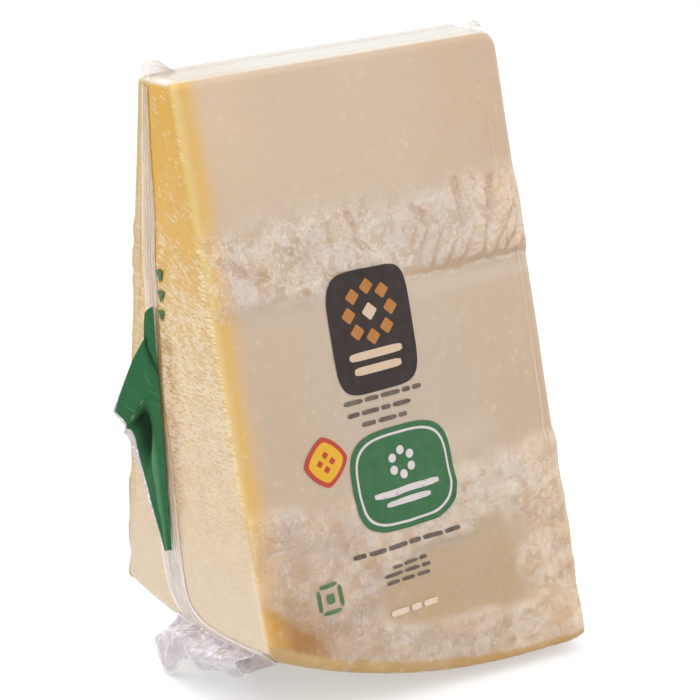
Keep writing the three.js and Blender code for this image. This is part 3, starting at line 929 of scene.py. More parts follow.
def cheese_finish():
    """Straw-coloured paste with crystals and crumbs, painted shade in its cracks and between and under
    the fingers, a streaked flat rind, and light that spreads.
    """
    f = Finish("straw_cheese")
    colour = f.node("ShaderNodeAttribute", {}, attribute_name="tint").outputs["Color"]
    rough, rind, radius, across = f.mark("rough"), f.mark("rind"), f.mark("radius"), f.mark("across")
    sliced = f.math("SUBTRACT", 1.0, f.math("MAXIMUM", rough, rind), clamp=True)

    def lay(paint, *shares):
        """The colour so far under a paint, as strong as the product of the shares."""
        return f.blend(f.times(*shares), colour, paint)

    # sliced cheese: soft mottling, and crystals that come in loose groups, few in the lower part
    colour = lay(MOTTLE, f.step(f.noise(2.2, 4), 0.52, 0.74), sliced, 0.2)
    crystal = f.times(f.step(f.cells(3.4)["Distance"], 0.1, 0.3, 1, 0), f.step(radius, 145, 160, 1.0, 0.1))
    colour = lay(CRYSTAL, crystal, f.step(f.noise(13, 2), 0.45, 0.62), sliced, 0.35)

    # split cheese: flat tan islands with white rims in fine white crumbs, and a few cracks with
    # painted shade, all weaker in the lower band
    field = f.math("ADD", f.noise(3.4, 3, 0.5), f.step(f.mark("flake"), -1.3, -0.5, -0.12, 0.0))
    flat = f.step(field, 0.41, 0.44, 1, 0)
    colour = lay(FLAT_TAN, flat, rough, 0.37)
    rim = f.ridge(field, 0.455, 0.004, 0.02)
    colour = lay(FLAT_RIM, rim, rough, f.step(radius, *TO_LOWER, 0.5, 0.2))
    crumbs = f.times(f.step(f.noise(0.9, 4, 0.1), 0.44, 0.66), f.math("SUBTRACT", 1.0, flat))
    crumbs = f.times(crumbs, f.step(radius, *TO_LOWER, 1.0, 0.6))
    colour = lay(CRUMB_WHITE, crumbs, rough, f.step(f.noise(9, 2), 0.35, 0.6, 0.2, 0.6))
    crack = f.ridge(f.noise(8, 1, 0.8), 0.5, 0.005, 0.02)
    colour = lay(CRACK_SHADE, crack, rough, f.step(across, 20, 70, 0.1, 0.5))

    # the lower band has broad soft blotches of white and of peach instead
    in_lower = f.times(rough, f.step(radius, *TO_LOWER))
    to_right = f.step(across, 18, 60, 0.12, 0.42)
    colour = lay(BLOTCH_WHITE, f.step(f.noise(5.5, 5, 0.3), 0.48, 0.62), in_lower, to_right)
    colour = lay(BLOTCH_PEACH, f.step(f.noise(7.5, 4, 0.5), 0.5, 0.66), in_lower, 0.42)

    # fingers: painted shade in the valleys, a painted shadow line under their ends, a torn white one below
    crest = f.math("ABSOLUTE", f.math("SINE", f.times(f.mark("finger"), math.pi)))
    colour = lay(VALLEY_SHADE, f.step(crest, 0.3, 0.62, 1, 0), f.mark("fingered"), 0.8)
    edge = f.times(f.step(radius, 90, 94), f.step(radius, 110, 114, 1, 0), f.step(across, 52, 68))
    shadow_line = f.times(f.step(rough, 0.08, 0.25), f.step(rough, 0.5, 0.8, 1, 0))
    colour = lay(FINGER_END_SHADOW, shadow_line, edge, 0.7)
    torn_line = f.times(f.step(rough, 0.0, 0.02), f.step(rough, 0.06, 0.14, 1, 0))
    colour = lay(TORN_WHITE, torn_line, edge, f.step(f.noise(1.6, 3), 0.4, 0.65, 0.05, 0.6))

    # flat rind: pale threads that cross amber ground, few near the tip and a mat lower down
    threads = f.noise(0.6, 4, 0.9, f.along(f.times(f.mark("toward"), 0.26), f.mark("course")))
    patches = f.noise(5.5, 3)
    bare = f.math("ADD", f.step(radius, 50, 118, 0.64, 0.47), f.step(patches, 0.3, 0.7, 0.07, -0.07))
    pale = f.step(f.math("SUBTRACT", threads, bare), -0.04, 0.07)
    colour = lay(THREAD_PALE, pale, rind, f.step(radius, 105, 185, 0.8, 0.3))
    amber = f.step(f.math("SUBTRACT", threads, f.step(patches, 0.3, 0.7, 0.42, 0.5)), -0.1, 0.02, 1, 0)
    colour = lay(THREAD_AMBER, amber, rind, f.step(radius, 100, 175, 0.55, 0.1))

    grain = f.bump(f.noise(0.9, 3), 0.05)
    lumpy = f.bump(f.times(field, rough), 0.1, grain)
    cloth = f.bump(f.times(threads, rind, f.step(radius, 100, 170, 1.0, 0.25)), 0.1, lumpy)
    body = f.shader(
        "BsdfPrincipled",
        Base_Color=colour,
        Roughness=f.step(f.noise(3, 3), 0.3, 0.7, 0.5, 0.62),
        Normal=cloth,
        Subsurface_Weight=0.15,
        Subsurface_Radius=(1.0, 0.6, 0.3),
        Subsurface_Scale=0.0015,
    )
    return f.finish(body)


cheese.data.materials.append(cheese_finish())
print("cheese nodes:", len(cheese.data.materials[0].node_tree.nodes))

# %% [markdown]
# ## The film's finish
#
# The film is a tenth of a millimetre of clear plastic. Two things are seen of it: a soft gloss, which
# grows towards grazing angles as on any smooth plastic, and a milky veil wherever air or grease lies
# between it and the cheese. So the material mixes a see-through shader with a little pale scatter,
# driven by the air gap, by broad clouds and by the creases, and lays a gloss over it by Fresnel's
# rule. Where the long crease at the right-hand edge reaches the lower band, finer ones leave it in
# curves. They are thinner than the mesh is fine, so they are whitened in the material alone.

# %% Film material
CREASES_ROUND = (84.5, 151.5)  # place across and radius of the middle of the curved creases
CREASE_RATE = 2.9  # of the sine across the curved creases, in radians to a millimetre
FILM_IOR = 1.33  # low, because the real film's gloss is soft


def curved_creases(f):
    """Share of the fine creases that curve round from the long one at the right-hand edge: crests of a
    sine of the distance from CREASES_ROUND, in a ring whose upper left part is left out."""
    across, radius = f.mark("across"), f.mark("radius")
    ways = [f.math("SUBTRACT", way, start) for way, start in zip((across, radius), CREASES_ROUND)]
    reach = f.math("SQRT", f.math("ADD", *(f.times(way, way) for way in ways)))
    reach = f.math("ADD", reach, f.step(f.noise(7, 2), 0.2, 0.8, -1.4, 1.4))
    creases = f.step(f.math("SINE", f.times(reach, CREASE_RATE)), 0.6, 0.98)
    ring = f.times(f.step(reach, 12, 15), f.step(reach, 19, 22, 1, 0))
    part = f.times(f.step(radius, 150, 154), f.step(across, 78, 88), f.step(f.noise(3.2, 2), 0.36, 0.62))
    return f.times(creases, ring, part)


def film_finish():
    """Clear film: see-through, milky over air gaps, with a soft gloss by Fresnel's rule."""
    f = Finish("clear_shrink_film")
    gap = f.step(f.mark("air"), 0.03, 0.4, 0.0, 0.2)
    veil = f.step(f.noise(14, 2), 0.4, 0.7, 0.01, 0.05)
    milk = f.math("ADD", f.math("ADD", gap, veil), f.times(curved_creases(f), 0.34))
    milk = f.math("ADD", milk, f.step(f.mark("wrinkle"), 0.05, 0.3, 0.0, 0.3), clamp=True)
    skin = f.shader_mix(milk, f.shader("BsdfTransparent"), f.shader("BsdfDiffuse", Color=srgb(226, 214, 206)))
    gloss = f.shader("BsdfGlossy", Color=(1, 1, 1, 1), Roughness=0.3)
    fresnel = f.node("ShaderNodeFresnel", {"IOR": FILM_IOR}).outputs[0]
    return f.finish(f.shader_mix(fresnel, skin, gloss))


film.data.materials.append(film_finish())
print("film nodes:", len(film.data.materials[0].node_tree.nodes))

# %% [markdown]
# ## Places on the film
#
# Everything else lies on the film: the print on the front cut, the seam and its arrows on the flat
# rind. Such a piece asks where the film is at a place on the cut, and is lifted from there by a
# fraction of a millimetre. The answer is read off the film's own grid, between its four nearest points.

# %% Find a place on the film


def read_grid(grid, rows, columns, row, column):
    """Value of a grid between its points: the four nearest ones mixed by the way to each."""
    i = np.clip(np.searchsorted(rows, row) - 1, 0, len(rows) - 2)
    j = np.clip(np.searchsorted(columns, column) - 1, 0, len(columns) - 2)
    u = ((row - rows[i]) / (rows[i + 1] - rows[i]))[..., None]
    v = ((column - columns[j]) / (columns[j + 1] - columns[j]))[..., None]
    return mix(mix(grid[i, j], grid[i + 1, j], u), mix(grid[i, j + 1], grid[i + 1, j + 1], u), v)


def row_at(depth, x, y):
    """Grid row at a depth: the depth itself, or below STRETCH_DEPTH its share of the way to the side."""
    bottom = np.sqrt(side_radius(x) ** 2 - y**2)
    fan = (depth - STRETCH_DEPTH) / (bottom - STRETCH_DEPTH)
    return np.where(depth < STRETCH_DEPTH, depth, STRETCH_DEPTH + fan * (RIM_RADIUS - STRETCH_DEPTH))


front_grid = wedge_skin(*np.broadcast_arrays(ROWS[:, None], COLUMNS, 1.0), True)[..., :3]
rind_grid = wedge_skin(*np.broadcast_arrays(ROWS[:, None], 0.0, SIDES), True)[..., :3]
FRONT_NORMAL = TURN @ np.array([0, -math.cos(HALF_ANGLE), math.sin(HALF_ANGLE)])
RIND_NORMAL = TURN @ np.array([-1.0, 0, 0])


def on_front(x, radius, lift):
    """Point that stands lift millimetres over the film on the front cut."""
    depth = radius * math.cos(HALF_ANGLE)
    found = read_grid(front_grid, ROWS, COLUMNS, row_at(depth, x, half_width(depth)), x)
    return found + np.asarray(lift)[..., None] * FRONT_NORMAL


def on_rind(toward, depth, lift):
    """Point that stands lift millimetres over the film on the flat rind. toward is the way from the
    middle plane to the front cut."""
    side = toward * (1 - EDGE_SHARE) / (half_width(depth) - EDGE_RADIUS)
    found = read_grid(rind_grid, ROWS, SIDES, row_at(depth, 0.0, toward), side)
    return found + np.asarray(lift)[..., None] * RIND_NORMAL


def along_stops(stops, along):
    """Smooth curve through rows of numbers, at shares from 0 to 1 of the way: between two stops a
    cubic whose end slopes are half the step between their neighbours."""
    stops = np.asarray(stops, float)
    padded = np.concatenate([[2 * stops[0] - stops[1]], stops, [2 * stops[-1] - stops[-2]]])
    place = np.clip(along, 0, 1) * (len(stops) - 1)
    number = np.minimum(place.astype(int), len(stops) - 2)
    t = (place - number)[..., None]
    before, start, end, after = (padded[number + step] for step in range(4))
    slopes = (t**3 - 2 * t**2 + t) * (end - before) / 2 + (t**3 - t**2) * (after - start) / 2
    return mix(start, end, 3 * t**2 - 2 * t**3) + slopes


print("film at the middle of the front cut:", on_front(np.array(50.0), np.array(120.0), 0).round(1))

# %% [markdown]
# ## The back seam
#
# The bag was closed by welding its two ends into a band that runs down the flat rind and sweeps to the
# front along its lower edge. The band is two films thick, shrunk into lengthwise pleats, and one pleat
# stands up beside the tear flap. Here it is a strip that follows a curve: the pleats are a cosine
# across the strip whose phase drifts, so that they run on, merge and fade like real ones.

# %% Seam
SEAM_PATH = (  # way to the front, depth and width at each stop
    (-5.6, 38.5, 2.4), (-7.8, 56, 4.4), (-9, 72, 6.6), (-10.9, 88, 6.8), (-11.6, 104, 6.4),
    (-12, 122, 5.6), (-11.2, 139, 7.8), (-10.9, 155, 9.2), (-10.7, 169, 10.8), (-9.8, 180, 10.6),
    (-5.4, 186.6, 7), (3, 189.2, 3.2), (14, 189.4, 2.4), (25, 188.5, 1.8), (35, 186.8, 1),
)
SHEET = 0.22  # thickness of a piece of film, thicker than the real tenth of a millimetre
SEAM_GAP = 0.08
PLEATS = 4.5  # across the seam
PLEAT_HEIGHT = 0.08
FOLD_HEIGHT = 0.4  # of the pleat that stands up
FOLD_AT, FOLD_WIDTH = 0.33, 0.07  # its place and half width, in widths of the seam
SEAM_LENGTH, SEAM_WIDTH = 200, 9  # usual sizes, which turn its grid into millimetres for the finish
SHARP = 1.0  # edges that turn by more than this, in radians, are shaded sharp


def seam_skin(along, across, out):
    """Point of the seam: the path, moved sideways by across times the width, and out by the pleats,
    (1 + cos) / 2 of a drifting phase, and the standing fold, a bell across the seam. Both die out at
    the rims, which are welded to the film, and the pleats are flatter lower down."""
    toward, depth, width = np.moveaxis(along_stops(SEAM_PATH, along), -1, 0)
    ahead = along_stops(SEAM_PATH, along + 0.004) - along_stops(SEAM_PATH, along - 0.004)
    heading = ahead[..., :2] / np.linalg.norm(ahead[..., :2], axis=-1, keepdims=True)
    offset = across * width
    drift = 1.3 * noise(along * 9, across * 2.5, 0.5) + 0.5 * noise(along * 40, across * 3, 7.5)
    pleat = 0.5 + 0.5 * np.cos(2 * math.pi * (PLEATS * across + drift))
    fold = bell(across, FOLD_AT, FOLD_WIDTH) * smooth(depth, 92, 115) * (1 - smooth(depth, 165, 182))
    rim = 1 - (2 * np.abs(across)) ** 6
    flatter = 1 - 0.88 * smooth(depth, 150, 174)
    height = SEAM_GAP + rim * (PLEAT_HEIGHT * flatter * pleat + FOLD_HEIGHT * fold + 0.1) + out * SHEET
    point = on_rind(toward + heading[..., 1] * offset, depth - heading[..., 0] * offset, height)
    return np.concatenate([point, np.stack([along * SEAM_LENGTH, across * SEAM_WIDTH], -1)], -1)


seam_surface = block(spread(0, 1, 300), spread(-0.5, 0.5, 40), spread(0, 1, 1), seam_skin)
seam = new_piece("seam", *seam_surface, ("along", "over"), SHARP)
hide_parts("back_seam")

# %% [markdown]
# ## The tear flap
#
# A tab of green film hangs from the seam: it is folded over once, stands off the rind at its widest
# place, and below the crease it sinks into a hollow. A strip of clear, ragged film is left along its
# free edge. The flap is one sheet between the seam and a free edge that is given by a few stops. The
# crease and the hollow are a step and a bell along the sheet, and the clear strip is the part of the
# same sheet beyond the green.

# %% Flap
FLAP_TOP, FLAP_BOTTOM = 99.0, 170.0  # depths
FLAP_ROOT = 8.9  # way from the middle plane to the back
FLAP_EDGE = (  # free edge: way back, way out and way down from the root, at equal steps along it
    (2.4, 0.8, 2.2), (2.8, 1.3, 0.6), (4.4, 4, -3), (12.2, 7.6, 4.6), (10.6, 4.6, 0.6),
    (10.4, 3.2, 0), (8, 2, -1), (5.2, 1.2, -1), (1.6, 0.6, 0),
)
FLAP_LIFT = (1.2, 1.9)  # of the root and of the rest over the flat rind
CREASE = (0.31, 0.52)  # place along the flap at the root and at the free edge
CREST_HEIGHT = 1.3  # of the crease
HOLLOW_DEPTH = 2.8
VALLEY_DEPTH = 1.2  # of the fold above the crease
ROLL_HEIGHT = 0.8  # of the soft roll below it
FLAP_LENGTH, FLAP_WIDTH = FLAP_BOTTOM - FLAP_TOP, 11  # usual sizes, for the finish
GREEN_SHARE = (1, 1, 1, 1, 0.96, 0.9, 0.87, 0.87, 0.88, 0.88, 0.89, 0.9)  # of the width, at equal steps


def flap_skin(along, across, out):
    """Point of the flap: the root moved by across times the free edge's step, plus a sharp crest along
    the crease, a hollow that drops at once below it and rises slowly again, a valley above it, a roll
    below it and soft wrinkles. The sheet is green up to a share of its width and clear beyond, with a
    ragged rim."""
    at_rim = smooth(across, 0.8, 1) * smooth(along, 0.4, 0.47)
    ragged = 1 + 0.05 * (noise(along * 60, 3.5, 1.5) - 0.5) * at_rim
    places = np.linspace(0, 1, len(FLAP_EDGE))
    free_edge = (np.interp(along, places, values) for values in zip(*FLAP_EDGE))
    back, stand, down = (way * across * ragged for way in free_edge)
    from_crease = along - mix(*CREASE, across)
    crest = bell(from_crease, 0, 0.02, 1) * smooth(across, 0.05, 0.3)
    hollow = smooth(from_crease, 0, 0.015) * (1 - smooth(from_crease, 0.1, 0.3))
    hollow = hollow * bell(across, 0.56, 0.26)
    past_valley = across - mix(0.95, 0.0, smooth(along, 0.12, CREASE[0]))
    valley = smooth(past_valley, -0.5, -0.1) * (1 - smooth(past_valley, -0.08, 0.06))
    valley = valley * smooth(along, 0.08, 0.16) * (1 - smooth(along, 0.28, 0.33))
    roll = bell(across, 0.25, 0.12) * smooth(along, 0.45, 0.65)
    wrinkle = 0.5 * (noise(along * 16 + 3 * across, across * 4, 2.5) - 0.5) * smooth(across, 0, 0.3)
    height = stand + CREST_HEIGHT * crest + ROLL_HEIGHT * roll + wrinkle
    height = height - HOLLOW_DEPTH * hollow - VALLEY_DEPTH * valley
    lift = np.maximum(0, height) + mix(*FLAP_LIFT, smooth(across, 0, 0.3)) + out * SHEET
    depth = mix(FLAP_TOP, FLAP_BOTTOM, along) + down
    point = in_frame(np.stack([-lift, FLAP_ROOT + back, -depth], -1))
    share = np.interp(along, np.linspace(0, 1, len(GREEN_SHARE)), GREEN_SHARE)
    clear = smooth(across, share - 0.012, share + 0.012)
    # where the hollow and the valley get painted shade
    sunk = np.maximum(hollow, 0.6 * valley)
    marks = (along * FLAP_LENGTH, across * FLAP_WIDTH, clear, sunk, crest, roll)
    return np.concatenate([point, np.stack(marks, -1)], -1)


FLAP_MARKS = ("along", "over", "clear", "sunk", "crest", "roll")
flap_surface = block(spread(0, 1, 240), spread(0, 1, 80), spread(1, 0, 1), flap_skin)
flap = new_piece("tear_tab", *flap_surface, FLAP_MARKS, SHARP)
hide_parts("tear_flap")

# %% [markdown]
# ## The crumpled tail and the ears
#
# Under the lower edge of the flat rind the spare end of the bag sticks out as a crumpled tail. It was
# a flat tube, so it is made of two sheets here, one behind the other, which hang between the wheel's
# lower edge and a hem that touches the floor in places. Crumpled film has flat facets between sharp
# creases. Folding noise at its middle value gives just that: the height |noise - 1/2| has a sharp
# valley wherever the noise crosses one half. At the top of the wedge two small ears of film stand up.

# %% Creases of loose film
ABOVE_EDGE = 1.7  # how far up the flat rind the tail starts, under the seam's rim
ROOT_OUT = -0.25  # place across of its root, on the film


def crumple(a, b, seed):
    """Sharp creases between facets, from 0 to about 1: 1.4 |noise - 1/2| and, at 2.3 times finer,
    0.8 |noise - 1/2|."""
    return 1.4 * np.abs(noise(a, b, seed) - 0.5) + 0.8 * np.abs(noise(2.3 * a, 2.3 * b, seed + 3) - 0.5)


def from_floor(place):
    """Wheel coordinates from the way across, the way to the front and the height over the floor."""
    x, toward, height = np.moveaxis(place, -1, 0)
    return np.stack([x, -toward, (FLOOR_LEVEL + height - x * TRUE_UP[0]) / TRUE_UP[2]], -1)


def wheel_edge(toward):
    """Place a little above the wheel's lower edge on the flat rind, in wheel coordinates."""
    depth = np.sqrt((side_radius(0.0) - ABOVE_EDGE) ** 2 - toward**2)
    return np.stack([np.full_like(toward, ROOT_OUT), -toward, -depth], -1)


def crumpled(point, grid, folds, strength, seed, web=0.0):
    """Sheet points pushed out and back by creases that fade at the wheel, with the sheet's thickness,
    and the marks of creases, rims and web, which is painted shade: the part painted dark and dull."""
    along, down, out = grid
    crease = crumple(along * folds + 0.8 * down + seed, down * 3.2 - 0.6 * along, seed + 0.5)
    push = strength * smooth(down, 0, 0.12) * (crease - 0.4)
    point = point + push[..., None] * np.array([-2.2, 1.3, 0.8])
    point[..., 0] += (out - 0.5) * SHEET
    ends = np.maximum(1 - smooth(along, 0, 0.02), smooth(along, 0.98, 1))
    rim = np.maximum(np.maximum(smooth(down, 0.97, 1), ends), 0.4 * (1 - smooth(down, 0.02, 0.06)))
    return np.concatenate([in_frame(on_floor(point)), np.stack([crease, rim, web + 0 * rim], -1)], -1)


print("root of the tail at the middle plane:", in_frame(wheel_edge(np.array(0.0))).round(1))

# %% Tail
TAIL_FROM, TAIL_TO = -9.0, 36.4  # where it leaves the wheel's edge, toward the front
HEM = (  # way across, way to the front and height of the hem at equal steps along it
    (-4.4, -16, 9.5), (-2.8, -14.6, 0), (2, -12.6, 3.4), (6, -9.5, 1), (10, -5, 0.5),
    (12.6, -1.8, 0), (15.6, 0, 0), (7.8, 17.6, 9.6), (2.6, 36.8, 19.6),
)
CREST = (  # of the roll that stands out in front
    (-5, -13.2, 13.9), (-5.2, -8, 15.4), (-5.4, -1.2, 16.9), (-5.4, 4, 15.6),
    (-5.2, 9.2, 14.8), (-4.6, 15.7, 15.9), (-4, 20, 16.8), (-2.6, 25, 18),
)
CREST_AT = 0.6  # share of the way down at which the sheet passes the crest
# painted shade in the hollow behind the roll, as a share of the web's dark paint
SHADE = 0.4  # how much the hollow behind the roll looks like the web
ROLL_HEM = (  # lower edge of the same sheet, with the loose corner that touches the floor
    (-4.5, -17.5, 8.2), (-4, -15.2, 4.2), (-4, -11.8, 0.3), (-3, -6.6, 6.1), (-2, -2.5, 7.8), (-1, 1, 6.2),
    (1, 2.5, 5.8), (2, 6.9, 7.6), (5, 6.5, 4.5), (7, 9, 4), (7, 12.2, 6.4),
)


def hanging_skin(*grid):
    """The sheet that hangs all along the wheel's lower edge, down to the hem, with a belly and waves.
    At its right-hand end it is stretched into a flat web, which is painted dark as shade."""
    along, down, _ = grid
    # the web: flattened, and painted dark as shade
    web = smooth(along, 0.74, 0.8)
    start, end = wheel_edge(mix(TAIL_FROM, TAIL_TO, along**1.3)), from_floor(along_stops(HEM, along))
    point = mix(start, end, down[..., None])
    wave = 0.6 * np.sin(26 * along + 2.2 * down + 2) + 0.3 * np.sin(56 * along - 3 * down)
    point[..., 0] -= (1 - web) * (1.2 * np.sin(math.pi * down) + 0.8 * smooth(down, 0, 0.1) * wave)
    return crumpled(point, grid, 11, 1 - 0.85 * web, 2.0, web)


def rolled_skin(*grid):
    """The sheet that rolls over in front: a cubic Bezier curve from the wheel's edge, in through a
    hollow, out over the crest and back to its hem. The third control point is solved for, so that
    the curve meets the crest at CREST_AT. The hollow gets painted shade through the web mark."""
    along, down, _ = grid
    start = wheel_edge(mix(TAIL_FROM - 1, TAIL_TO - 7, along))
    crest, end = from_floor(along_stops(CREST, along)), from_floor(along_stops(ROLL_HEM, along))
    hollow = mix(start, crest, 0.5) + np.array([2.5, 0, -3.5])
    t = CREST_AT
    known = (1 - t) ** 3 * start + 3 * (1 - t) ** 2 * t * hollow + t**3 * end
    bulge = (crest - known) / (3 * (1 - t) * t**2)
    t = down[..., None]
    curve = (1 - t) ** 3 * start + 3 * (1 - t) ** 2 * t * hollow + 3 * (1 - t) * t**2 * bulge + t**3 * end
    shade = SHADE * smooth(down, 0.03, 0.1) * (1 - smooth(down, 0.34, 0.5))
    return crumpled(curve, grid, 12, 0.9, 5.0, shade * smooth(noise(along * 7, down * 3, 4.5), 0.2, 0.5))


LOOSE_MARKS = ("crease", "rim", "web")
tail_grid = (spread(0, 1, 150), spread(0, 1, 60), spread(0, 1, 1))
tail_sheets = [block(*tail_grid, skin) for skin in (hanging_skin, rolled_skin)]
tail = new_piece("crumpled_tail", *together(tail_sheets), LOOSE_MARKS)
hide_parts("film_tail")

# %% Ears
EARS = {  # wheel place of the middle of the foot, width, height and lean
    "ear_left": ((4.4, 6.0, 0.3 - TIP_DEPTH), 9.6, 3.8, 0.1),
    "ear_right": ((HALF_HEIGHT - 3, -1.5, 0.3 - TIP_DEPTH), 4.0, 2.0, -0.2),
}


def ear_skin(along, rise, out, foot, width, height, lean):
    """Point of an ear: a small sheet whose top is highest left of its middle, crumpled more towards
    its top by a sine wave along it and by creases."""
    top = height * (0.75 + 0.25 * np.sin(1.25 * math.pi * along)) * (1 - 0.8 * smooth(along, 0.45, 1))
    crease = crumple(along * 4, rise * 2.5, height)
    sway = 0.25 * height * np.sin(5 * along + 1) + 0.9 * (crease - 0.4)
    x = mix(-width / 2, width / 2, along) - lean * rise * height
    point = np.stack([x, rise * sway + (out - 0.5) * SHEET, rise * (top + 0.5 * (crease - 0.4))], -1)
    marks = np.stack([crease, smooth(rise, 0.9, 1), 0 * crease], -1)
    return np.concatenate([in_frame(point + np.array(foot)), marks], -1)


ears, ear_grid = [], (spread(0, 1, 44), spread(0, 1, 20), spread(1, 0, 1))
for ear_name, shape in EARS.items():
    surface = block(*ear_grid, lambda u, v, w: ear_skin(u, v, w, *shape))
    ears.append(new_piece(ear_name, *surface, LOOSE_MARKS))
    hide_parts("film_" + ear_name)

# %% [markdown]
# ## Finishes of the loose film
#
# The seam, the tail and the ears are the same clear film as the skin, but crumpled, so light meets
# many layers and folds and they look milky, with white lines where a fold turns edge-on. The shader
# is again see-through mixed with scatter. Layer Weight makes the grazing parts denser, as a film that
# is looked at along its sheet really is. The green of the flap is printed on the film, so it is a
# dense paint under a weak gloss, and a bump keeps the film's wrinkles.

# %% Materials of tail and ears
LOOSE_IOR = 1.3  # of the loose film, whose folds scatter most of the gloss
WEB_PAINT = (138, 117, 108)  # of the flat web, which lies in the wedge's shade


def clear_folds(f, lines, density, line_density, dull, bright):
    """Shader of folded clear film: from see-through to milky by density, denser by line_density along
    pale lines and where it is seen edge-on."""
    edge_on = f.node("ShaderNodeLayerWeight", {"Blend": 0.3}).outputs["Facing"]
    milk = f.math("ADD", density, f.times(edge_on, 0.25))
    milk = f.math("ADD", milk, f.times(lines, line_density), clamp=True)
    clear = f.shader("BsdfTransparent", Color=srgb(250, 247, 247))
    gloss = f.shader("BsdfGlossy", Color=(1, 1, 1, 1), Roughness=0.35)
    skin = f.shader_mix(milk, clear, f.shader("BsdfDiffuse", Color=f.blend(lines, dull, bright)))
    fresnel = f.node("ShaderNodeFresnel", {"IOR": LOOSE_IOR}).outputs[0]
    return f.shader_mix(fresnel, skin, gloss)


def tail_finish(name, dull, bright):
    """Crumpled film: milky in clouds, with pale lines in the creases and along the rims. The web mark
    is painted shade: there the film is darker and denser, with weaker lines."""
    f = Finish(name)
    creases, web = f.step(f.mark("crease"), 0.02, 0.07, 0.75, 0), f.mark("web")
    lines = f.times(f.math("MAXIMUM", creases, f.mark("rim")), f.step(web, 0, 1, 1.0, 0.3))
    density = f.math("MAXIMUM", f.step(f.noise(4, 3), 0.3, 0.7, 0.5, 0.85), web)
    shade = f.blend(web, srgb(*dull), srgb(*WEB_PAINT))
    return f.finish(clear_folds(f, lines, density, 0.2, shade, srgb(*bright)))


tail.data.materials.append(tail_finish("crumpled_film", (205, 197, 201), (236, 231, 235)))
ear_film = tail_finish("ear_film", (234, 226, 220), (246, 242, 240))
for ear in ears:
    ear.data.materials.append(ear_film)
print("loose film nodes:", len(ear_film.node_tree.nodes))

# %% Materials of seam and flap


def seam_finish():
    """Pleated film: faint pale lines that run along the seam, and milky rims in its lower part."""
    f = Finish("seam_film")
    along, over = f.mark("along"), f.mark("over")
    field = f.noise(0.8, 3, 0.2, f.along(f.times(along, 0.05), over))
    low = f.step(along, 80, 130)
    rim = f.times(f.step(f.math("ABSOLUTE", over), 3.2, 4.3), f.step(along, 90, 140, 0.1, 1.0))
    lines = f.math("MAXIMUM", f.step(field, 0.54, 0.72, 0.0, 0.4), rim)
    density = f.times(f.step(field, 0.3, 0.65, 0.02, 0.14), f.step(along, 80, 130, 1.5, 2.2))
    dull = f.blend(low, srgb(202, 162, 90), srgb(241, 225, 208))
    bright = f.blend(low, srgb(218, 183, 126), srgb(242, 230, 236))
    return f.finish(clear_folds(f, lines, density, 0.3, dull, bright))


def flap_finish():
    """Green printed film with paler wrinkles and roll, which are painted highlights, painted shade in
    the hollow, a broken painted highlight along the crest, and its clear ragged strip."""
    f = Finish("green_printed_film")
    along, over = f.mark("along"), f.mark("over")
    slanted = f.along(f.math("ADD", along, f.times(over, 1.1)), f.times(over, 0.15))
    field = f.noise(1.3, 3, 0.6, slanted)
    # painted highlights: paler green on the wrinkles' crests and on the roll
    green = f.blend(f.step(field, 0.52, 0.74, 0.0, 0.16), srgb(40, 90, 56), srgb(104, 150, 114))
    green = f.blend(f.step(f.mark("roll"), 0.2, 1.0, 0.0, 0.34), green, srgb(112, 156, 122))
    # painted shade: near-black green in the hollow below the crease and in the valley above it
    green = f.blend(f.step(f.mark("sunk"), 0.05, 0.9, 0.0, 0.92), green, srgb(3, 27, 6))
    # painted highlight: a pale line along the crest, broken up like scratches
    crest_highlight = f.times(f.step(f.mark("crest"), 0.75, 1.0), f.step(f.noise(2.5, 2), 0.45, 0.6), 0.4)
    green = f.blend(crest_highlight, green, srgb(180, 206, 180))
    body = f.shader(
        "BsdfPrincipled", Base_Color=green, Roughness=0.5, Normal=f.bump(field, 0.2), Specular_IOR_Level=0.1
    )
    crinkles = f.step(f.noise(1.2, 2), 0.5, 0.7)
    strip = clear_folds(f, crinkles, 0.6, 0.3, srgb(200, 194, 200), srgb(226, 221, 226))
    return f.finish(f.shader_mix(f.mark("clear"), body, strip))


seam.data.materials.append(seam_finish())
flap.data.materials.append(flap_finish())
print("seam and flap nodes:", [len(piece.data.materials[0].node_tree.nodes) for piece in (seam, flap)])

# %% [markdown]
# ## Print
#
# The film carries print in flat colours. It is made of plain shapes only: a dark panel with diamonds,
# a green field with a flower of dots, a small badge and a small mark, rows of dashes where a packer's
# text would be, and arrows that point along the seam. Each shape is a thin closed slab that follows
# the film. A square grid is pulled to a rounded outline: a point's larger coordinate says how far out
# it lies, and the outline's reach in its direction says where the rim is.

# %% Slabs of print
PRINT_LIFT = 0.14  # of the lowest layer over the film
LAYER = 0.07  # from one layer of print to the next
INK = 0.04  # thickness of a layer
PRINT_STEP = 0.55  # of the slabs' grids


def rounded_reach(angle, half_across, half_down, power):
    """Reach of a superellipse: (|cos / a|^n + |sin / b|^n)^(-1/n). A power of 1 gives a diamond, 2 an
    ellipse and 8 a rectangle with round corners."""
    parts = np.abs(np.cos(angle) / half_across) ** power + np.abs(np.sin(angle) / half_down) ** power
    return parts ** (-1 / power)


def slab(middle, reach, size, layer, surface=None):
    """Closed thin slab on the film: every grid point lies at s times the reach in its direction, where
    s is its larger coordinate. It lies on the front cut, or on the surface that is given."""
    grid = spread(-1, 1, max(8, round(size / PRINT_STEP)))

    def place(u, v, w):
        angle = np.arctan2(v, u)
        out = np.maximum(np.abs(u), np.abs(v)) * reach(angle)
        lift = PRINT_LIFT + layer * LAYER + w * INK
        where = surface or on_front
        return where(middle[0] + out * np.cos(angle), middle[1] + out * np.sin(angle), lift)

    return block(grid, grid, spread(0, 1, 1) if surface is None else spread(1, 0, 1), place)


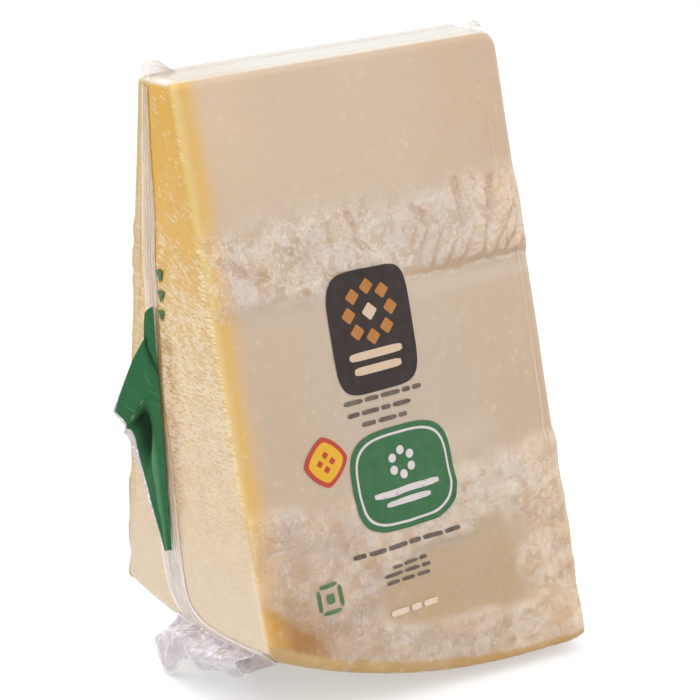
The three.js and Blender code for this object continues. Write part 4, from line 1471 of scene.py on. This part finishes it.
def rounded(middle, half_across, half_down, power, layer):
    """Slab with a superellipse as outline."""
    reach = lambda angle: rounded_reach(angle, half_across, half_down, power)
    return slab(middle, reach, 2 * max(half_across, half_down), layer)


print("a circle of ink reaches", rounded_reach(0.0, 2.0, 2.0, 2), "mm on every side")

# %% Rows and rings of slabs
DASH_LENGTH = (2.2, 6.5)  # shortest and longest
DASH_LEAST = 1.5  # a rest of a row that is shorter stays bare
DASH_GAP = 0.9


def dashes(rows, layer, seed):
    """Rows of short bars with small gaps, of random lengths. A row is its radius, start, end and half
    height."""
    random = np.random.default_rng(seed)
    bars = []
    for radius, start, end, half in rows:
        while start < end - DASH_LEAST:
            length = min(random.uniform(*DASH_LENGTH), end - start)
            bars.append(rounded((start + length / 2, radius), length / 2, half, 6, layer))
            start += length + DASH_GAP
    return bars


def beside(middle, across, down):
    return middle[0] + across, middle[1] + down


def around(middle, ring, count, half, power, layer):
    """Small rounded slabs at equal steps on a circle."""
    turns = 2 * math.pi * np.arange(count) / count
    places = [beside(middle, ring * math.sin(turn), ring * math.cos(turn)) for turn in turns]
    return [rounded(place, half, half, power, layer) for place in places]


print("dashes on a row of 20 mm:", len(dashes(((120.0, 40.0, 60.0, 0.5),), 0, 1)))

# %% Ink


def ink_finish(name, paint, worn):
    """Printing ink: one paint that is a little paler in worn clouds, with an uneven soft gloss."""
    f = Finish(name)
    uneven = f.times(f.step(f.noise(2.5, 4), 0.35, 0.7), worn)
    colour = f.blend(uneven, srgb(*paint), srgb(*(part + (255 - part) * 0.35 for part in paint)))
    matt = f.step(f.noise(4, 3), 0.3, 0.7, 0.35, 0.5)
    return f.finish(f.shader("BsdfPrincipled", Base_Color=colour, Roughness=matt, Specular_IOR_Level=0.25))


# %% Print on the front cut
# places across and radii of the middles
PANEL, FIELD, BADGE, MARK = (49.0, 111.5), (51.6, 153.4), (27.4, 143.8), (21.4, 180.0)
TEXT_ROWS = (
    (130, 36, 62, 0.62), (133.4, 36.8, 60, 0.62), (136.6, 41, 56, 0.62), (171.6, 31, 67, 0.62),
    (177.2, 43, 55, 0.5), (179.4, 40, 57.5, 0.5), (181.6, 40.6, 57.4, 0.5),
)
STAMP_ROWS = ((190.2, 40.5, 57.5, 0.9),)
PRINT = {  # paint, how worn it is, and the slabs of each colour
    "print_panel": ((38, 28, 25), 0.04, [rounded(PANEL, 13.6, 17.0, 5, 0)]),
    "print_panel_ochre": ((152, 96, 42), 0.12, around(beside(PANEL, 0, -5), 7, 8, 2.4, 1, 1)),
    "print_panel_cream": (
        (180, 156, 132), 0.1,
        [rounded(beside(PANEL, 0, -5), 2.6, 2.6, 1, 1)]
        + [rounded(beside(PANEL, 0, down), 10.5 - down / 4, 1.15, 6, 1) for down in (6.6, 10.6)],
    ),
    "print_field": (
        (42, 88, 52), 0.06,
        [rounded(FIELD, 17.0, 14.2, 3.4, 0), rounded(FIELD, 14.8, 12.0, 3.4, 2)],
    ),
    "print_field_white": (
        (184, 174, 174), 0.1,
        [rounded(FIELD, 15.5, 12.7, 3.4, 1)]
        + around(beside(FIELD, 0, -4), 3.4, 6, 1.25, 2, 3)
        + [rounded(beside(FIELD, 0, down), half, 0.9, 6, 3) for down, half in ((3.4, 11.0), (6.4, 7.6))],
    ),
    "print_badge": (
        (160, 50, 38), 0.08,
        [rounded(BADGE, 7.0, 7.0, 1.4, 0)] + around(BADGE, 2.0, 4, 1.1, 1, 2),
    ),
    "print_badge_yellow": ((192, 146, 30), 0.08, [rounded(BADGE, 5.6, 5.6, 1.4, 1)]),
    "print_lines": ((80, 66, 56), 0.2, dashes(TEXT_ROWS, 0, 4)),
    "print_mark": (
        (64, 98, 58), 0.15,
        [rounded(beside(MARK, 0, side * 3.6), 2.9, 0.55, 6, 0) for side in (-1, 1)]
        + [rounded(beside(MARK, side * 3.6, 0), 0.55, 2.9, 6, 0) for side in (-1, 1)]
        + [rounded(MARK, 1.3, 1.3, 4, 0)],
    ),
    "print_stamp": ((190, 171, 150), 0.2, dashes(STAMP_ROWS, 0, 9)),
}
for print_name, (paint, worn, slabs) in PRINT.items():
    piece = new_piece(print_name, *together(slabs), (), SHARP)
    piece.data.materials.append(ink_finish(print_name + "_ink", paint, worn))

# %% Arrows beside the seam
ABOVE_SEAM = 4  # layers, so that the arrows lie over the seam's rim
ARROW_SLENDER = 0.55  # square of the arrows' width as a share of an even triangle's
ARROWS = ((-5.4, 89.5, 3.9), (-5.7, 95.3, 3.7), (-6.1, 100.8, 3.5))  # way to the front, depth and length


def arrow(toward, depth, length):
    """Slab with three corners that points down: the reach is the distance to the nearest side of a
    triangle, in a direction measured from its middle."""
    corner = 2 * math.pi / 3

    def reach(angle):
        from_tip = (angle - math.pi / 2 + corner / 2) % corner - corner / 2
        side = length / 3 / np.cos(corner / 2 - np.abs(from_tip))
        return side * np.sqrt(np.cos(angle) ** 2 * ARROW_SLENDER + np.sin(angle) ** 2)

    return slab((toward, depth), reach, 8, ABOVE_SEAM, on_rind)


arrows = new_piece("print_arrows", *together([arrow(*shape) for shape in ARROWS]), (), SHARP)
arrows.data.materials.append(ink_finish("arrow_ink", (56, 98, 58), 0.08))

# %% [markdown]
# ## Floor, light and camera
#
# A plain pale floor, a large soft light above and to the left, weaker ones from the right and from
# behind, and an even pale sky show the wedge as in a product picture. The camera stands to the left
# of the front cut and a little above it, with a long lens, so the upright edges stay nearly parallel.

# %% Floor
FLOOR_SIZE = 20.0  # metres, so that its edge is never seen
TABLE_GLOW = 0.45  # share of the light that comes up through the table top
floor_mesh = bpy.data.meshes.new("floor")
half = FLOOR_SIZE / 2
floor_corners = [(-half, -half, 0), (half, -half, 0), (half, half, 0), (-half, half, 0)]
floor_mesh.from_pydata(floor_corners, [], [(0, 1, 2, 3)])
floor = bpy.data.objects.new("floor", floor_mesh)
bpy.context.scene.collection.objects.link(floor)
paper = Finish("pale_paper")
matt = paper.shader("BsdfDiffuse", Color=(0.9, 0.9, 0.9, 1))
floor_mesh.materials.append(paper.finish(paper.shader_mix(TABLE_GLOW, matt, paper.shader("Emission"))))
print("floor:", FLOOR_SIZE, "m wide")

# %% Lights
LIGHTS = {  # place, size and power, in metres and watts
    "key": ((-0.9, -0.9, 1.3), 2.2, 21),
    "fill": ((1.2, -0.9, 0.7), 1.6, 8),
    "back": ((-0.3, 1.1, 1.0), 0.9, 10),
}
LIT_PLACE = Vector((-0.04, 0, 0.08))  # that the lights are turned to
SKY_STRENGTH = 0.93
for light_name, (position, size, power) in LIGHTS.items():
    light = bpy.data.lights.new(light_name, "AREA")
    light.size, light.energy = size, power
    lamp = bpy.data.objects.new(light_name, light)
    lamp.location = position
    lamp.rotation_euler = (LIT_PLACE - lamp.location).to_track_quat("-Z", "Y").to_euler()
    bpy.context.scene.collection.objects.link(lamp)
world = bpy.data.worlds.new("even_sky")
bpy.context.scene.world = world
world.use_nodes = True
sky = world.node_tree.nodes["Background"]
sky.inputs["Color"].default_value = (1, 1, 1, 1)
sky.inputs["Strength"].default_value = SKY_STRENGTH
bpy.context.scene.view_settings.view_transform = "Standard"
print("lights:", ", ".join(LIGHTS))

# %% Camera
AZIMUTH, ELEVATION = math.radians(-35.15), math.radians(15.42)
DISTANCE = 0.6166
AIM = Vector((-0.0371, -0.0049, 0.0922))
FOCAL_LENGTH, SENSOR_WIDTH = 112.7, 36.0
back_way = Vector((
    math.sin(AZIMUTH) * math.cos(ELEVATION),
    -math.cos(AZIMUTH) * math.cos(ELEVATION),
    math.sin(ELEVATION),
))
lens = bpy.data.cameras.new("camera")
lens.lens, lens.sensor_width = FOCAL_LENGTH, SENSOR_WIDTH
camera = bpy.data.objects.new("camera", lens)
camera.location = AIM + back_way * DISTANCE
camera.rotation_euler = (-back_way).to_track_quat("-Z", "Y").to_euler()
bpy.context.scene.collection.objects.link(camera)
bpy.context.scene.camera = camera
print("camera at", [round(part, 3) for part in camera.location])
